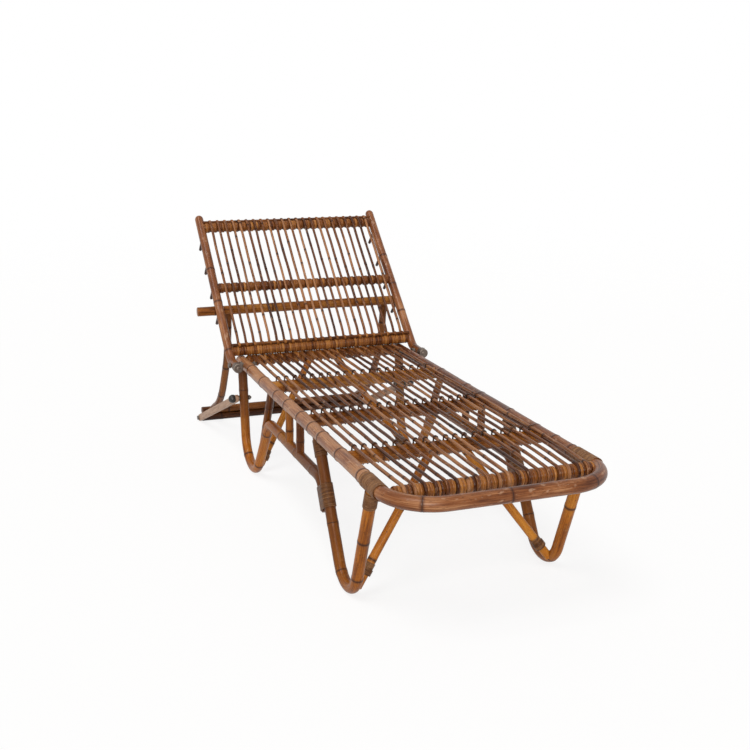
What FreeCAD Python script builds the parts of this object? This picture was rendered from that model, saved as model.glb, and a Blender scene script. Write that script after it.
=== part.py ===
"""Rattan chaise longue: bent-pole frame, hinged backrest and a prop behind it.

Millimetres, +Z up, +X to the right seen from the foot end, +Y from the foot to the head.
Stations along the chaise are measured from the middle of the foot hoop; the origin is the
middle of the footprint on the floor.
"""
import FreeCAD, Part
import math
import os

V = FreeCAD.Vector

# Seat frame
RAIL_R = 17.5
RAIL_HALF_SPACING = 270.0
RAIL_Z = 330.0
RAIL_END = 1345.0
HOOP_STATION = -5.0
CORNER_R = 118.0
CROSS_R = 17.5
CROSS_Z = 327.0
CROSS_STATIONS = {"front": 345.0, "middle": 661.0, "rear": 1010.0}
END_RAIL_R = 14.0
FOOT_RAIL = 80.0
HEAD_RAIL = 1330.0
CROSS_HALF_LENGTH = 255.2

# Canes of the seat and the back
SLAT_R = 4.5
SEAT_SLATS = 19
SEAT_PITCH = 25.5
BACK_SLATS = 23
BACK_PITCH = 25.4
SEAT_TURNS = (math.radians(160), math.radians(115))
BACK_TURNS = (math.radians(75), math.radians(160))
WRAP_THICKNESS = 2.4
WRAP_HALF_LENGTH = 238.5
TIE_R = 1.4
TIE_TOP_BEND = 4.5
TIE_LOW_BEND = 11.0

# Legs and braces
LEG_R = 14.5
WEAR = 1.0
FRONT_LEG = {"rear_top": 547.0, "foot": 313.0, "bend": 72.0, "front_top": 146.0}
REAR_LEG = {"rear_top": 1331.0, "foot": 1210.0, "bend": 93.0}
ELBOW = (1009.0, 218.0)
ELBOW_BEND = 55.0
STRETCHER_BEND = 45.0
STRETCHER_END_Z = 145.0
BRACE_R = 11.0
BRACE_FOOT_Z = 25.0
BRACE_HALF_TOP = 40.0
FRONT_BRACE = {"foot": 271.0, "inward": 9.0}
REAR_BRACE = {"foot": 1192.0, "inward": 20.0}
POST_R = 11.0
POST_STATIONS = {"front": 698.0, "rear": 800.0}
ELBOW_STRUT_R = 11.5
ELBOW_STRUT_TOP = 978.0
ELBOW_STRUT_FOOT = (1082.0, 132.0)

# Backrest
BACK_ANGLE = math.radians(42.84)
BACK_STATION = 1295.0
BACK_HALF_SPACING = 311.0
POLE_R = 14.0
POLE_TOP = 598.0
POLE_BEND = 60.0
POLE_FRONT_END = 1215.0
BAR_R = 14.0
BARS = {"top": 559.0, "middle": 302.0, "lower": 61.0}
PEG_R = 5.0
PEG_REACH = 74.0
PEG_PITCH = 104.0
PEG_COUNT = 4

# Hinges between seat and backrest
HINGE_STATION = 1258.0
HINGE_Z = 338.0
BOLT_R = 4.0
FIT = 0.06
HEAD_R = 7.5
HEAD_H = 5.0
WASHER_R = 9.0
WASHER_H = 1.6
CAP_R = 15.2
CAP_LENGTH = 22.0
CAP_END = 3.0

# Prop that holds the backrest up
PROP_BAR_R = 15.0
PROP_ON_BACK = 233.0
PROP_BEHIND_BACK = 29.5
PROP_HALF_LENGTH = 356.0
PROP_SLIDE = 22.0
UPRIGHT_R = 12.0
UPRIGHT_X = 275.0
UPRIGHT_BENDS = ((1516.0, 300.0), (1628.0, 118.0))
UPRIGHT_BEND_R = 260.0
FOOT_BAR_R = 13.0
FOOT_BAR_STATION = 1788.0
LINK_PIVOT_Z = 212.0
LINK_FRONT_X = 289.0
LINK_REAR_X = 312.0
LINK_THICK = 11.0
LINK_HALF_WIDTH = 12.0
KNOB_R = 13.5
PIN_DEPTH = 30.0
NUT_REACH = 9.0

# Cane wound round the joints
CANE_R = 1.2
CANE_PITCH = 3.2
STRETCHER_TURNS = 9
COLLAR_TURNS = 7
BRACE_TURNS = 8
POINTS_APART = 12
COLLAR_START = 33.0
STRETCHER_WIND_START = 10.0

# Clearance left between pieces that touch, and between pieces that turn on each other
GAP = 0.2
PLAY = 0.6
ACROSS = 400.0
CUT_DEPTH = 50.0
CUT_MARGIN = 1.0

FRONT_FACE = HOOP_STATION - RAIL_R
REAR_FACE = FOOT_BAR_STATION + FOOT_BAR_R
MIDDLE = (FRONT_FACE + REAR_FACE) / 2
END_RAIL_Z = CROSS_Z + CROSS_R - END_RAIL_R
SIDES = {"left": -1, "right": 1}


def at(x, station, z):
    """Point of the model from its place across the seat and its station along the chaise.

    The prop's bar lies to the left, so the middle of the footprint is left of the seat's middle.
    """
    return V(x + PROP_SLIDE, station - MIDDLE, z)


def on_back(x, along, behind):
    """Point given along the backrest's poles and square behind them."""
    station = BACK_STATION + along * math.cos(BACK_ANGLE) + behind * math.sin(BACK_ANGLE)
    height = RAIL_Z + along * math.sin(BACK_ANGLE) - behind * math.cos(BACK_ANGLE)
    return at(x, station, height)


def tangent_arc(first, corner, last):
    """Arc that leaves along the line to a corner and arrives along the line from it."""
    toward = (first - corner).normalize()
    away = (last - corner).normalize()
    half = toward.getAngle(away) / 2
    bend = (first - corner).Length * math.tan(half)
    middle = corner + (toward + away).normalize() * (bend / math.sin(half) - bend)
    return Part.Arc(first, middle, last).toShape()


def rounded_wire(points, bends):
    """Straight runs through the points, each inner corner rounded to its bend radius."""
    edges = []
    start = points[0]
    for before, corner, after, bend in zip(points, points[1:], points[2:], bends):
        toward = (before - corner).normalize()
        away = (after - corner).normalize()
        half = toward.getAngle(away) / 2
        first = corner + toward * (bend / math.tan(half))
        last = corner + away * (bend / math.tan(half))
        edges.append(Part.LineSegment(start, first).toShape())
        edges.append(tangent_arc(first, corner, last))
        start = last
    edges.append(Part.LineSegment(start, points[-1]).toShape())
    return Part.Wire(edges)


def swept(wire, radius):
    """Round pole along a wire of straight runs and tangent arcs."""
    edge = wire.OrderedEdges[0]
    start = edge.valueAt(edge.FirstParameter)
    way = edge.tangentAt(edge.FirstParameter)
    profile = Part.Wire(Part.Circle(start, way, radius).toShape())
    return wire.makePipeShell([profile], True, False)


def rod(start, end, radius):
    """Straight round pole between two points."""
    way = end - start
    return Part.makeCylinder(radius, way.Length, start, way)


def tube(start, end, outer, inner):
    """Straight sleeve between two points."""
    return rod(start, end, outer).cut(rod(start, end, inner))


def bent(points, bends, radius):
    """Bent round pole through the points."""
    return swept(rounded_wire(points, bends), radius)


def above_floor(shape):
    """Foot with its worn flat: everything below the floor taken off."""
    box = shape.BoundBox
    box.enlarge(CUT_MARGIN)
    corner = V(box.XMin, box.YMin, -CUT_DEPTH)
    return shape.cut(Part.makeBox(box.XLength, box.YLength, CUT_DEPTH, corner))


def coped(shape, neighbours):
    """Pole end shaped to the poles that it meets."""
    for neighbour in neighbours:
        shape = shape.cut(neighbour)
    return max(shape.Solids, key=lambda solid: solid.Volume)


def save(name, shapes):
    """One node: a single piece, or a group of separate like pieces."""
    solids = [solid for shape in shapes for solid in shape.Solids]
    for solid in solids:
        if not solid.isValid():
            raise ValueError("bad solid in " + name)
    node = solids[0] if len(solids) == 1 else Part.makeCompound(solids)
    node.exportStep("parts/" + name + ".step")
    volume = sum(solid.Volume for solid in solids)
    print(name, len(solids), "solid(s)", round(volume / 1000, 1), "cm3")


def spread(count, pitch):
    """Evenly spaced places about the middle."""
    return [(index - (count - 1) / 2) * pitch for index in range(count)]


def tangent_point(centre, radius, outside, turn):
    """Where a line from a point outside touches a circle, in the side plane."""
    base = math.atan2(outside[1] - centre[1], outside[0] - centre[0])
    reach = math.hypot(outside[0] - centre[0], outside[1] - centre[1])
    angle = base + turn * math.acos(radius / reach)
    return (radius * math.cos(angle), radius * math.sin(angle))


def foot_corner(foot, bend, rear_top, front_top):
    """Corner where a leg's two struts would meet below the floor, for a foot of this bend."""
    centre = (foot, bend + LEG_R - WEAR)
    rear = tangent_point(centre, bend, rear_top, -1)
    front = tangent_point(centre, bend, front_top, 1)
    scale = bend ** 2 / (bend ** 2 + rear[0] * front[0] + rear[1] * front[1])
    return (centre[0] + (rear[0] + front[0]) * scale, centre[1] + (rear[1] + front[1]) * scale)


def side_plane(x, points):
    """Side-view points placed at one distance from the middle."""
    return [at(x, station, height) for station, height in points]


def rail(side, grow=0.0):
    """Straight side rail of the seat, from the hoop's corner to the head end."""
    x = side * RAIL_HALF_SPACING
    return rod(at(x, HOOP_STATION + CORNER_R, RAIL_Z), at(x, RAIL_END, RAIL_Z), RAIL_R + grow)


def hoop(grow=0.0):
    """Rounded foot end of the seat."""
    x = RAIL_HALF_SPACING
    back = HOOP_STATION + CORNER_R
    inner = x - CORNER_R
    left = tangent_arc(at(-x, back, RAIL_Z), at(-x, HOOP_STATION, RAIL_Z), at(-inner, HOOP_STATION, RAIL_Z))
    front = Part.LineSegment(at(-inner, HOOP_STATION, RAIL_Z), at(inner, HOOP_STATION, RAIL_Z)).toShape()
    right = tangent_arc(at(inner, HOOP_STATION, RAIL_Z), at(x, HOOP_STATION, RAIL_Z), at(x, back, RAIL_Z))
    return swept(Part.Wire([left, front, right]), RAIL_R + grow)


def cross_pole(station, height, radius):
    """Pole across the seat, before its ends are shaped."""
    half = CROSS_HALF_LENGTH
    return rod(at(-half, station, height), at(half, station, height), radius)


def tie(middle, outward, bar_radius, grow=0.0):
    """Loop of cane over a slat and round the bar that it lies on, its ends meeting below the bar.

    The loop's plane is turned about the outward direction, so that its sides pass clear of both
    the slat and the bar.
    """
    across = V(1, 0, 0)
    along = across.cross(outward)
    half = across * (SLAT_R + TIE_R + PLAY) + along * (bar_radius + TIE_R + PLAY)
    top = middle + outward * (bar_radius + 2 * SLAT_R + TIE_R + 2 * GAP)
    low = middle - outward * (bar_radius + TIE_R + GAP)
    seam = across * (PLAY / 2)
    points = [low + seam, low + half, top + half, top - half, low - half, low - seam]
    bends = [TIE_LOW_BEND, TIE_TOP_BEND, TIE_TOP_BEND, TIE_LOW_BEND]
    return swept(rounded_wire(points, bends), TIE_R + grow)


def wrapped_cane(start_bar, end_bar, outward, bar_radius, turns):
    """Slat cane along two bars on their outer side, its ends bent so far round the bars."""
    reach = bar_radius + SLAT_R + GAP
    along = (end_bar - start_bar).normalize()

    def round_bar(bar, way, turn):
        return bar + outward * (reach * math.cos(turn)) + way * (reach * math.sin(turn))

    back = along * -1
    start = [round_bar(start_bar, back, turns[0] * part) for part in (1.0, 0.5, 0.0)]
    end = [round_bar(end_bar, along, turns[1] * part) for part in (0.0, 0.5, 1.0)]
    edges = [
        Part.Arc(*start).toShape(),
        Part.LineSegment(start[2], end[0]).toShape(),
        Part.Arc(*end).toShape(),
    ]
    return swept(Part.Wire(edges), SLAT_R)


def wrapping(place, places, half_length, bar_radius):
    """Cane wound flat on a bar between the slats, as one sleeve per gap."""
    edges = [-half_length] + [side for x in places for side in (x - SLAT_R - GAP, x + SLAT_R + GAP)]
    edges.append(half_length)
    sleeves = []
    for start, end in zip(edges[0::2], edges[1::2]):
        sleeves.append(tube(place(start), place(end), bar_radius + WRAP_THICKNESS, bar_radius + GAP / 2))
    return sleeves


def build_seat():
    """Rails, hoop, cross rails, slats, their ties and the wound end rails."""
    rails = {name: rail(side) for name, side in SIDES.items()}
    wide = [rail(side, GAP) for side in SIDES.values()] + [hoop(GAP)]
    for name, side in SIDES.items():
        outside = at(side * ACROSS, HINGE_STATION, HINGE_Z)
        bolt_hole = rod(at(0, HINGE_STATION, HINGE_Z), outside, BOLT_R + GAP / 2)
        save("side_rail_" + name, [rails[name].cut(bolt_hole)])
    save("foot_hoop", [hoop()])

    places = spread(SEAT_SLATS, SEAT_PITCH)
    up = V(0, 0, 1)
    ties = []
    for name, station in CROSS_STATIONS.items():
        save("cross_rail_" + name, [coped(cross_pole(station, CROSS_Z, CROSS_R), wide)])
        ties += [tie(at(x, station, CROSS_Z), up, CROSS_R) for x in places]
    for name, station in (("foot_rail", FOOT_RAIL), ("head_rail", HEAD_RAIL)):
        save(name, [coped(cross_pole(station, END_RAIL_Z, END_RAIL_R), wide)])
        sleeves = wrapping(lambda x: at(x, station, END_RAIL_Z), places, WRAP_HALF_LENGTH, END_RAIL_R)
        save(name + "_wrapping", sleeves)

    slats = []
    for x in places:
        start = at(x, FOOT_RAIL, END_RAIL_Z)
        end = at(x, HEAD_RAIL, END_RAIL_Z)
        slats.append(wrapped_cane(start, end, up, END_RAIL_R, SEAT_TURNS))
    save("seat_slats", slats)
    save("seat_slat_ties", ties)


def front_leg_points():
    """Side view of a front leg: rear strut, foot and front strut."""
    rear = (FRONT_LEG["rear_top"], RAIL_Z)
    front = (FRONT_LEG["front_top"], RAIL_Z)
    return [rear, foot_corner(FRONT_LEG["foot"], FRONT_LEG["bend"], rear, front), front]


def rear_leg_points():
    """Side view of a rear leg: strut, foot, elbow, stretcher and its end along the front leg."""
    top = (REAR_LEG["rear_top"], RAIL_Z)
    corner = foot_corner(REAR_LEG["foot"], REAR_LEG["bend"], top, ELBOW)
    strut_top, strut_low = front_leg_points()[:2]
    run = (strut_top[0] - strut_low[0]) / (strut_top[1] - strut_low[1])
    beside = (2 * LEG_R + 2 * GAP) * math.hypot(1, run)
    bend = (strut_low[0] + (ELBOW[1] - strut_low[1]) * run + beside, ELBOW[1])
    end = (strut_low[0] + (STRETCHER_END_Z - strut_low[1]) * run + beside, STRETCHER_END_Z)
    return [top, corner, ELBOW, bend, end]


def link_pivot():
    """Station of the link's bolt, on the axis of the rear leg's strut."""
    top, corner = rear_leg_points()[:2]
    share = (top[1] - LINK_PIVOT_Z) / (top[1] - corner[1])
    return top[0] + (corner[0] - top[0]) * share


def build_legs():
    """Bent legs with their side stretchers, struts, posts and braces."""
    pivot = link_pivot()
    for name, side in SIDES.items():
        x = side * RAIL_HALF_SPACING
        above = [rail(side, GAP), hoop(GAP)]
        front = bent(side_plane(x, front_leg_points()), [FRONT_LEG["bend"]], LEG_R)
        front_wide = bent(side_plane(x, front_leg_points()), [FRONT_LEG["bend"]], LEG_R + GAP)
        bends = [REAR_LEG["bend"], ELBOW_BEND, STRETCHER_BEND]
        rear = bent(side_plane(x, rear_leg_points()), bends, LEG_R)
        rear_wide = bent(side_plane(x, rear_leg_points()), bends, LEG_R + GAP)
        bolt_hole = rod(at(0, pivot, LINK_PIVOT_Z), at(side * ACROSS, pivot, LINK_PIVOT_Z), BOLT_R + GAP / 2)
        save("front_leg_" + name, [above_floor(coped(front, above))])
        save("rear_leg_" + name, [above_floor(coped(rear, above + [bolt_hole]))])

        top = at(x, ELBOW_STRUT_TOP, RAIL_Z)
        foot = at(x, *ELBOW_STRUT_FOOT)
        save("elbow_strut_" + name, [coped(rod(top, foot, ELBOW_STRUT_R), above + [rear_wide])])
        for place, station in POST_STATIONS.items():
            post = rod(at(x, station, ELBOW[1]), at(x, station, RAIL_Z), POST_R)
            save("post_" + place + "_" + name, [coped(post, above + [rear_wide])])

        front_rail = CROSS_STATIONS["front"]
        near = [place for place in spread(SEAT_SLATS, SEAT_PITCH) if place * side > 0]
        ties = [tie(at(place, front_rail, CROSS_Z), V(0, 0, 1), CROSS_R, GAP) for place in near]
        brace = rod(*brace_ends(side, FRONT_BRACE, front_rail), BRACE_R)
        cross_wide = cross_pole(front_rail, CROSS_Z, CROSS_R + GAP)
        save("front_brace_" + name, [coped(brace, [front_wide, cross_wide] + ties)])
        brace = rod(*brace_ends(side, REAR_BRACE, HEAD_RAIL), BRACE_R)
        head_wide = cross_pole(HEAD_RAIL, END_RAIL_Z, END_RAIL_R + WRAP_THICKNESS + GAP)
        save("rear_brace_" + name, [coped(brace, [rear_wide, head_wide])])


def brace_ends(side, place, top_station):
    """Foot and top of an inner brace."""
    foot = at(side * (RAIL_HALF_SPACING - place["inward"]), place["foot"], BRACE_FOOT_Z)
    return foot, at(side * BRACE_HALF_TOP, top_station, CROSS_Z)


def biarc(start, start_way, end, end_way):
    """Two arcs that join two points and keep their directions."""
    chord = end - start
    ways = start_way + end_way
    spread_of_ways = 2 * (1 - start_way.dot(end_way))
    along = chord.dot(ways)
    leg = (math.sqrt(along ** 2 + spread_of_ways * chord.dot(chord)) - along) / spread_of_ways
    first_corner = start + start_way * leg
    last_corner = end - end_way * leg
    meet = (first_corner + last_corner) * 0.5
    return [tangent_arc(start, first_corner, meet), tangent_arc(meet, last_corner, end)]


def winding(base, way, across, apart, pole_radius, turns):
    """Cane wound up round one pole, or round two side by side, as one unbroken tube.

    The winding starts at the base and climbs along the way; the two poles' axes lie apart, half
    to each side of the base, in the direction across. Its straight ends are one cane thick.
    """
    reach = pole_radius + CANE_R + GAP
    square = way.cross(across)
    climb = CANE_PITCH / (2 * math.pi * reach + 2 * apart)
    quarter = math.pi / 2

    def place(lobe, angle, run):
        spoke = across * math.cos(angle) + square * math.sin(angle)
        return base + across * (lobe * apart / 2) + spoke * reach + way * (run * climb)

    def heading(angle):
        return (square * math.cos(angle) - across * math.sin(angle) + way * climb).normalize()

    run = 0.0
    angle = -quarter
    start = place(1, angle, run)
    edges = [Part.LineSegment(start - heading(angle) * (2 * CANE_R), start).toShape()]
    for half_turn in range(2 * turns):
        lobe = 1 if half_turn % 2 == 0 else -1
        for step in range(2):
            end = place(lobe, angle + quarter, run + quarter * reach)
            edges += biarc(start, heading(angle), end, heading(angle + quarter))
            angle += quarter
            run += quarter * reach
            start = end
        if apart:
            run += apart
            end = place(-lobe, angle, run)
            edges.append(Part.LineSegment(start, end).toShape())
            start = end
    edges.append(Part.LineSegment(start, start + heading(angle) * (2 * CANE_R)).toShape())
    wire = Part.Wire(edges)
    return swept(wire, CANE_R), least_gap(wire)


def least_gap(wire):
    """Least clear distance between two turns of a wound cane, measured on points along it."""
    points = wire.discretize(Distance=CANE_R * 2)
    nearest = ACROSS
    for index, point in enumerate(points):
        for other in points[index + POINTS_APART:]:
            nearest = min(nearest, point.distanceToPoint(other))
    return nearest - 2 * CANE_R


def save_windings(name, windings):
    """One node of like windings, with their least gap to themselves."""
    save(name, [tube_shape for tube_shape, gap in windings])
    print(name, "least gap to itself", round(min(gap for tube_shape, gap in windings), 2), "mm")


def build_bindings():
    """Cane bindings of the stretcher's ends, the struts' tops and the braces' feet."""
    stretcher = []
    collars = []
    braces = []
    for side in SIDES.values():
        x = side * RAIL_HALF_SPACING
        top, low, front_top = side_plane(x, front_leg_points())
        corner, end = side_plane(x, rear_leg_points()[3:])
        up = (corner - end).normalize()
        across = V(0, up.z, -up.y)
        apart = 2 * LEG_R + 2 * GAP
        base = end + up * STRETCHER_WIND_START - across * (apart / 2)
        stretcher.append(winding(base, up, across, apart, LEG_R, STRETCHER_TURNS))
        for strut_top in (top, front_top):
            down = (low - strut_top).normalize()
            base = strut_top + down * COLLAR_START
            collars.append(winding(base, down, V(1, 0, 0), 0.0, LEG_R, COLLAR_TURNS))
        for place, top_station in ((FRONT_BRACE, CROSS_STATIONS["front"]), (REAR_BRACE, HEAD_RAIL)):
            foot, brace_top = brace_ends(side, place, top_station)
            up = (brace_top - foot).normalize()
            clear = LEG_R + BRACE_R + 2 * CANE_R + 3 * PLAY - place["inward"]
            base = foot + up * (clear / abs(up.x))
            across = up.cross(V(0, 1, 0)).normalize()
            braces.append(winding(base, up, across, 0.0, BRACE_R, BRACE_TURNS))
    save_windings("stretcher_bindings", stretcher)
    save_windings("strut_bindings", collars)
    save_windings("brace_bindings", braces)


def build_backrest():
    """Poles, bars, slats, pegs and steel caps of the backrest."""
    across = BACK_HALF_SPACING
    wide = []
    for name, side in SIDES.items():
        x = side * across
        crown = on_back(x, POLE_TOP, 0)
        corner = on_back(x, (HINGE_Z - RAIL_Z) / math.sin(BACK_ANGLE), 0)
        front = at(x, POLE_FRONT_END, HINGE_Z)
        pole = bent([crown, corner, front], [POLE_BEND], POLE_R)
        wide.append(bent([crown, corner, front], [POLE_BEND], POLE_R + GAP))
        pole = pole.fuse(Part.makeSphere(POLE_R, crown)).removeSplitter()
        bolt = rod(at(0, HINGE_STATION, HINGE_Z), at(side * ACROSS, HINGE_STATION, HINGE_Z), BOLT_R + FIT)
        holes = [peg(x, index, GAP) for index in range(PEG_COUNT)]
        save("back_pole_" + name, [coped(pole, [bolt] + holes)])
        save("prop_pegs_" + name, [peg(x, index) for index in range(PEG_COUNT)])
        way = V(0, 1, 0)
        cap = rod(front - way * CAP_END, front + way * (CAP_LENGTH - CAP_END), CAP_R)
        bore = rod(front - way * GAP, front + way * CAP_LENGTH, POLE_R + GAP)
        save("pole_cap_" + name, [cap.cut(bore)])

    places = spread(BACK_SLATS, BACK_PITCH)
    forward = on_back(0, 0, -1) - on_back(0, 0, 0)
    for name, along in BARS.items():
        bar = rod(on_back(-across, along, 0), on_back(across, along, 0), BAR_R)
        save("back_" + name + "_bar", [coped(bar, wide)])
        half = across - POLE_R - 2 * GAP
        sleeves = wrapping(lambda x: on_back(x, along, 0), places, half, BAR_R)
        save("back_" + name + "_wrapping", sleeves)

    slats = []
    for x in places:
        start = on_back(x, BARS["lower"], 0)
        end = on_back(x, BARS["top"], 0)
        slats.append(wrapped_cane(start, end, forward, BAR_R, BACK_TURNS))
    save("back_slats", slats)


def peg(x, index, grow=0.0):
    """Peg driven square into the back of a pole; the prop's bar lies on the lowest pair."""
    along = PROP_ON_BACK - PROP_BAR_R - PEG_R - PLAY + index * PEG_PITCH
    return rod(on_back(x, along, -grow), on_back(x, along, PEG_REACH), PEG_R + grow)


def bolt_across(side, station, height, inner, outer):
    """Bolt along X with its head on the outer side."""
    start = at(side * inner, station, height)
    shoulder = at(side * outer, station, height)
    head = rod(shoulder, at(side * (outer + HEAD_H), station, height), HEAD_R)
    return rod(start, shoulder, BOLT_R).fuse(head).removeSplitter()


def ring(side, station, height, inner, outer, radius):
    """Washer, bush or nut round a bolt along X."""
    start = at(side * inner, station, height)
    end = at(side * outer, station, height)
    return tube(start, end, radius, BOLT_R + GAP / 2)


def build_hinges():
    """Bolts that the backrest turns on, with bushes, washers and nuts."""
    rail_outer = RAIL_HALF_SPACING + RAIL_R
    pole_inner = BACK_HALF_SPACING - POLE_R
    pole_outer = BACK_HALF_SPACING + POLE_R
    nut_face = RAIL_HALF_SPACING - RAIL_R - GAP
    for name, side in SIDES.items():
        outer = pole_outer + PLAY + WASHER_H
        inner = nut_face - 2 * HEAD_H
        save("hinge_bolt_" + name, [bolt_across(side, HINGE_STATION, HINGE_Z, inner, outer)])
    washers = []
    nuts = []
    for side in SIDES.values():
        place = (side, HINGE_STATION, HINGE_Z)
        washers.append(ring(*place, rail_outer + PLAY / 2, pole_inner - PLAY / 2, WASHER_R))
        washers.append(ring(*place, pole_outer + PLAY / 2, pole_outer + PLAY / 2 + WASHER_H, WASHER_R))
        nuts.append(ring(*place, nut_face - HEAD_H, nut_face, HEAD_R))
    save("hinge_washers", washers)
    save("hinge_nuts", nuts)


def flat_link(side, start, end):
    """Flat bar with round ends, splayed outward from its front end to its rear end."""
    first = at(side * LINK_FRONT_X, *start)
    last = at(side * LINK_REAR_X, *end)
    way = (last - first).normalize()
    square = way.cross(V(1, 0, 0)).normalize() * LINK_HALF_WIDTH
    outward = way.cross(square).normalize()
    outward = outward * (LINK_THICK * math.copysign(1, outward.x * side))
    edges = [
        Part.LineSegment(first + square, last + square).toShape(),
        Part.Arc(last + square, last + way * LINK_HALF_WIDTH, last - square).toShape(),
        Part.LineSegment(last - square, first - square).toShape(),
        Part.Arc(first - square, first - way * LINK_HALF_WIDTH, first + square).toShape(),
    ]
    return Part.Face(Part.Wire(edges)).extrude(outward)


def ball_knob(seat, outward):
    """Turned ball knob with a flat seat and a blind bore for its bolt."""
    middle = KNOB_R / 2
    seat_r = math.sqrt(KNOB_R ** 2 - middle ** 2)
    bore_r = BOLT_R + GAP / 2
    bore_end = KNOB_R + GAP

    def place(depth, radius):
        return seat + outward * depth + V(0, 0, radius)

    outline = [
        Part.LineSegment(place(0, bore_r), place(0, seat_r)).toShape(),
        Part.Arc(place(0, seat_r), place(middle, KNOB_R), place(middle + KNOB_R, 0)).toShape(),
        Part.LineSegment(place(middle + KNOB_R, 0), place(bore_end, 0)).toShape(),
        Part.LineSegment(place(bore_end, 0), place(bore_end, bore_r)).toShape(),
        Part.LineSegment(place(bore_end, bore_r), place(0, bore_r)).toShape(),
    ]
    return Part.Face(Part.Wire(outline)).revolve(seat, outward, 360)


def build_links():
    """Flat links from the rear legs to the prop's foot, with their bolts, ball knobs and pins."""
    pivot = link_pivot()
    foot_z = FOOT_BAR_R - WEAR / 2
    leg_inner = RAIL_HALF_SPACING - LEG_R
    leg_outer = RAIL_HALF_SPACING + LEG_R
    front_outer = LINK_FRONT_X + LINK_THICK + PLAY
    shank_end = front_outer + KNOB_R
    washers = []
    nuts = []
    pins = []
    for name, side in SIDES.items():
        link = flat_link(side, (pivot, LINK_PIVOT_Z), (FOOT_BAR_STATION, foot_z))
        for station, height in ((pivot, LINK_PIVOT_Z), (FOOT_BAR_STATION, foot_z)):
            link = link.cut(rod(at(0, station, height), at(side * ACROSS, station, height), BOLT_R + FIT))
        save("prop_link_" + name, [link])

        def along(x):
            return at(side * x, pivot, LINK_PIVOT_Z)

        save("link_bolt_" + name, [rod(along(leg_inner - NUT_REACH), along(shank_end), BOLT_R)])
        save("link_knob_" + name, [ball_knob(along(front_outer), V(side, 0, 0))])
        place = (side, pivot, LINK_PIVOT_Z)
        washers.append(ring(*place, leg_outer + PLAY / 2, LINK_FRONT_X - PLAY, WASHER_R))
        nuts.append(ring(*place, leg_inner - GAP - HEAD_H, leg_inner - GAP, HEAD_R))
        rear = (side, FOOT_BAR_STATION, foot_z)
        pins.append(bolt_across(*rear, LINK_REAR_X - PIN_DEPTH, LINK_REAR_X + LINK_THICK + PLAY))
    save("link_washers", washers)
    save("link_nuts", nuts)
    save("prop_pivot_pins", pins)


def build_prop():
    """Prop frame: bar under the back, two bowed uprights and the stacked bars on the floor."""
    bar_at = on_back(0, PROP_ON_BACK, PROP_BEHIND_BACK)
    left = bar_at - V(PROP_HALF_LENGTH + PROP_SLIDE, 0, 0)
    right = bar_at + V(PROP_HALF_LENGTH - PROP_SLIDE, 0, 0)
    save("prop_top_bar", [rod(left, right, PROP_BAR_R)])
    top_wide = rod(left, right, PROP_BAR_R + GAP)

    reach = V(LINK_REAR_X - PLAY, 0, 0)
    floor_at = at(0, FOOT_BAR_STATION, FOOT_BAR_R - WEAR / 2)
    upper_at = floor_at + V(0, 0, 2 * FOOT_BAR_R + GAP)
    bar = above_floor(rod(floor_at - reach, floor_at + reach, FOOT_BAR_R))
    for side in SIDES.values():
        end = reach * side
        bar = bar.cut(rod(floor_at + end, floor_at + end - V(side * PIN_DEPTH, 0, 0), BOLT_R + GAP / 2))
    save("prop_foot_bar", [bar])
    save("prop_upper_foot_bar", [rod(upper_at - reach, upper_at + reach, FOOT_BAR_R)])
    upper_wide = rod(upper_at - reach, upper_at + reach, FOOT_BAR_R + GAP)
    floor_wide = rod(floor_at - reach, floor_at + reach, FOOT_BAR_R + GAP)
    for name, side in SIDES.items():
        x = side * UPRIGHT_X
        across = V(x, 0, 0)
        points = [bar_at + across] + side_plane(x, UPRIGHT_BENDS) + [upper_at + across]
        upright = bent(points, [UPRIGHT_BEND_R] * len(UPRIGHT_BENDS), UPRIGHT_R)
        save("prop_upright_" + name, [coped(upright, [top_wide, upper_wide, floor_wide])])


os.makedirs("parts", exist_ok=True)
build_seat()
build_legs()
build_bindings()
build_backrest()
build_hinges()
build_links()
build_prop()
print("hinge axis of the back", HINGE_STATION - MIDDLE, HINGE_Z)
print("bolt axis of the links", link_pivot() - MIDDLE, LINK_PIVOT_Z)
print("foot axis of the prop", FOOT_BAR_STATION - MIDDLE, FOOT_BAR_R - WEAR / 2)
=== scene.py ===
"""Rattan chaise longue: poles, canes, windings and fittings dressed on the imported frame.

Sizes are millimetres as on the real chaise. Stations run along it from the foot hoop to the head,
heights from the floor. Meshes are in metres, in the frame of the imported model.
"""
import logging
import math
from dataclasses import dataclass, field
from enum import Enum

import bmesh
import bpy
import numpy as np
from mathutils import Matrix, Vector


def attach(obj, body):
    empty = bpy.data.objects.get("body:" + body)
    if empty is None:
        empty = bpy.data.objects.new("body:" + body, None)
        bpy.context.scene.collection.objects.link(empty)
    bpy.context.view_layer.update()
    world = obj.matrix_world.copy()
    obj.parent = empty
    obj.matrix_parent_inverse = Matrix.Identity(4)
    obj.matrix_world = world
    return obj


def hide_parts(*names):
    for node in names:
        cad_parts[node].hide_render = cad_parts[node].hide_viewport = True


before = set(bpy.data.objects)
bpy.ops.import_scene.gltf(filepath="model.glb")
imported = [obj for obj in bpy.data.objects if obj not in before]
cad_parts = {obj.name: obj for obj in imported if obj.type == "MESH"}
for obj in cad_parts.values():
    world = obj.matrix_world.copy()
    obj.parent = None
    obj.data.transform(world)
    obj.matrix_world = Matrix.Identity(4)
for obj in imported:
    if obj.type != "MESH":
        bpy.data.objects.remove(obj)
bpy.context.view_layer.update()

LOG = logging.getLogger("chaise")
MM = 0.001
# Station of the frame's origin, and how far the seat's middle lies to the right of it, since the
# prop's bar stands out further on the left.
MIDDLE = 889.25
SLIDE = 22.0
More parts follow.
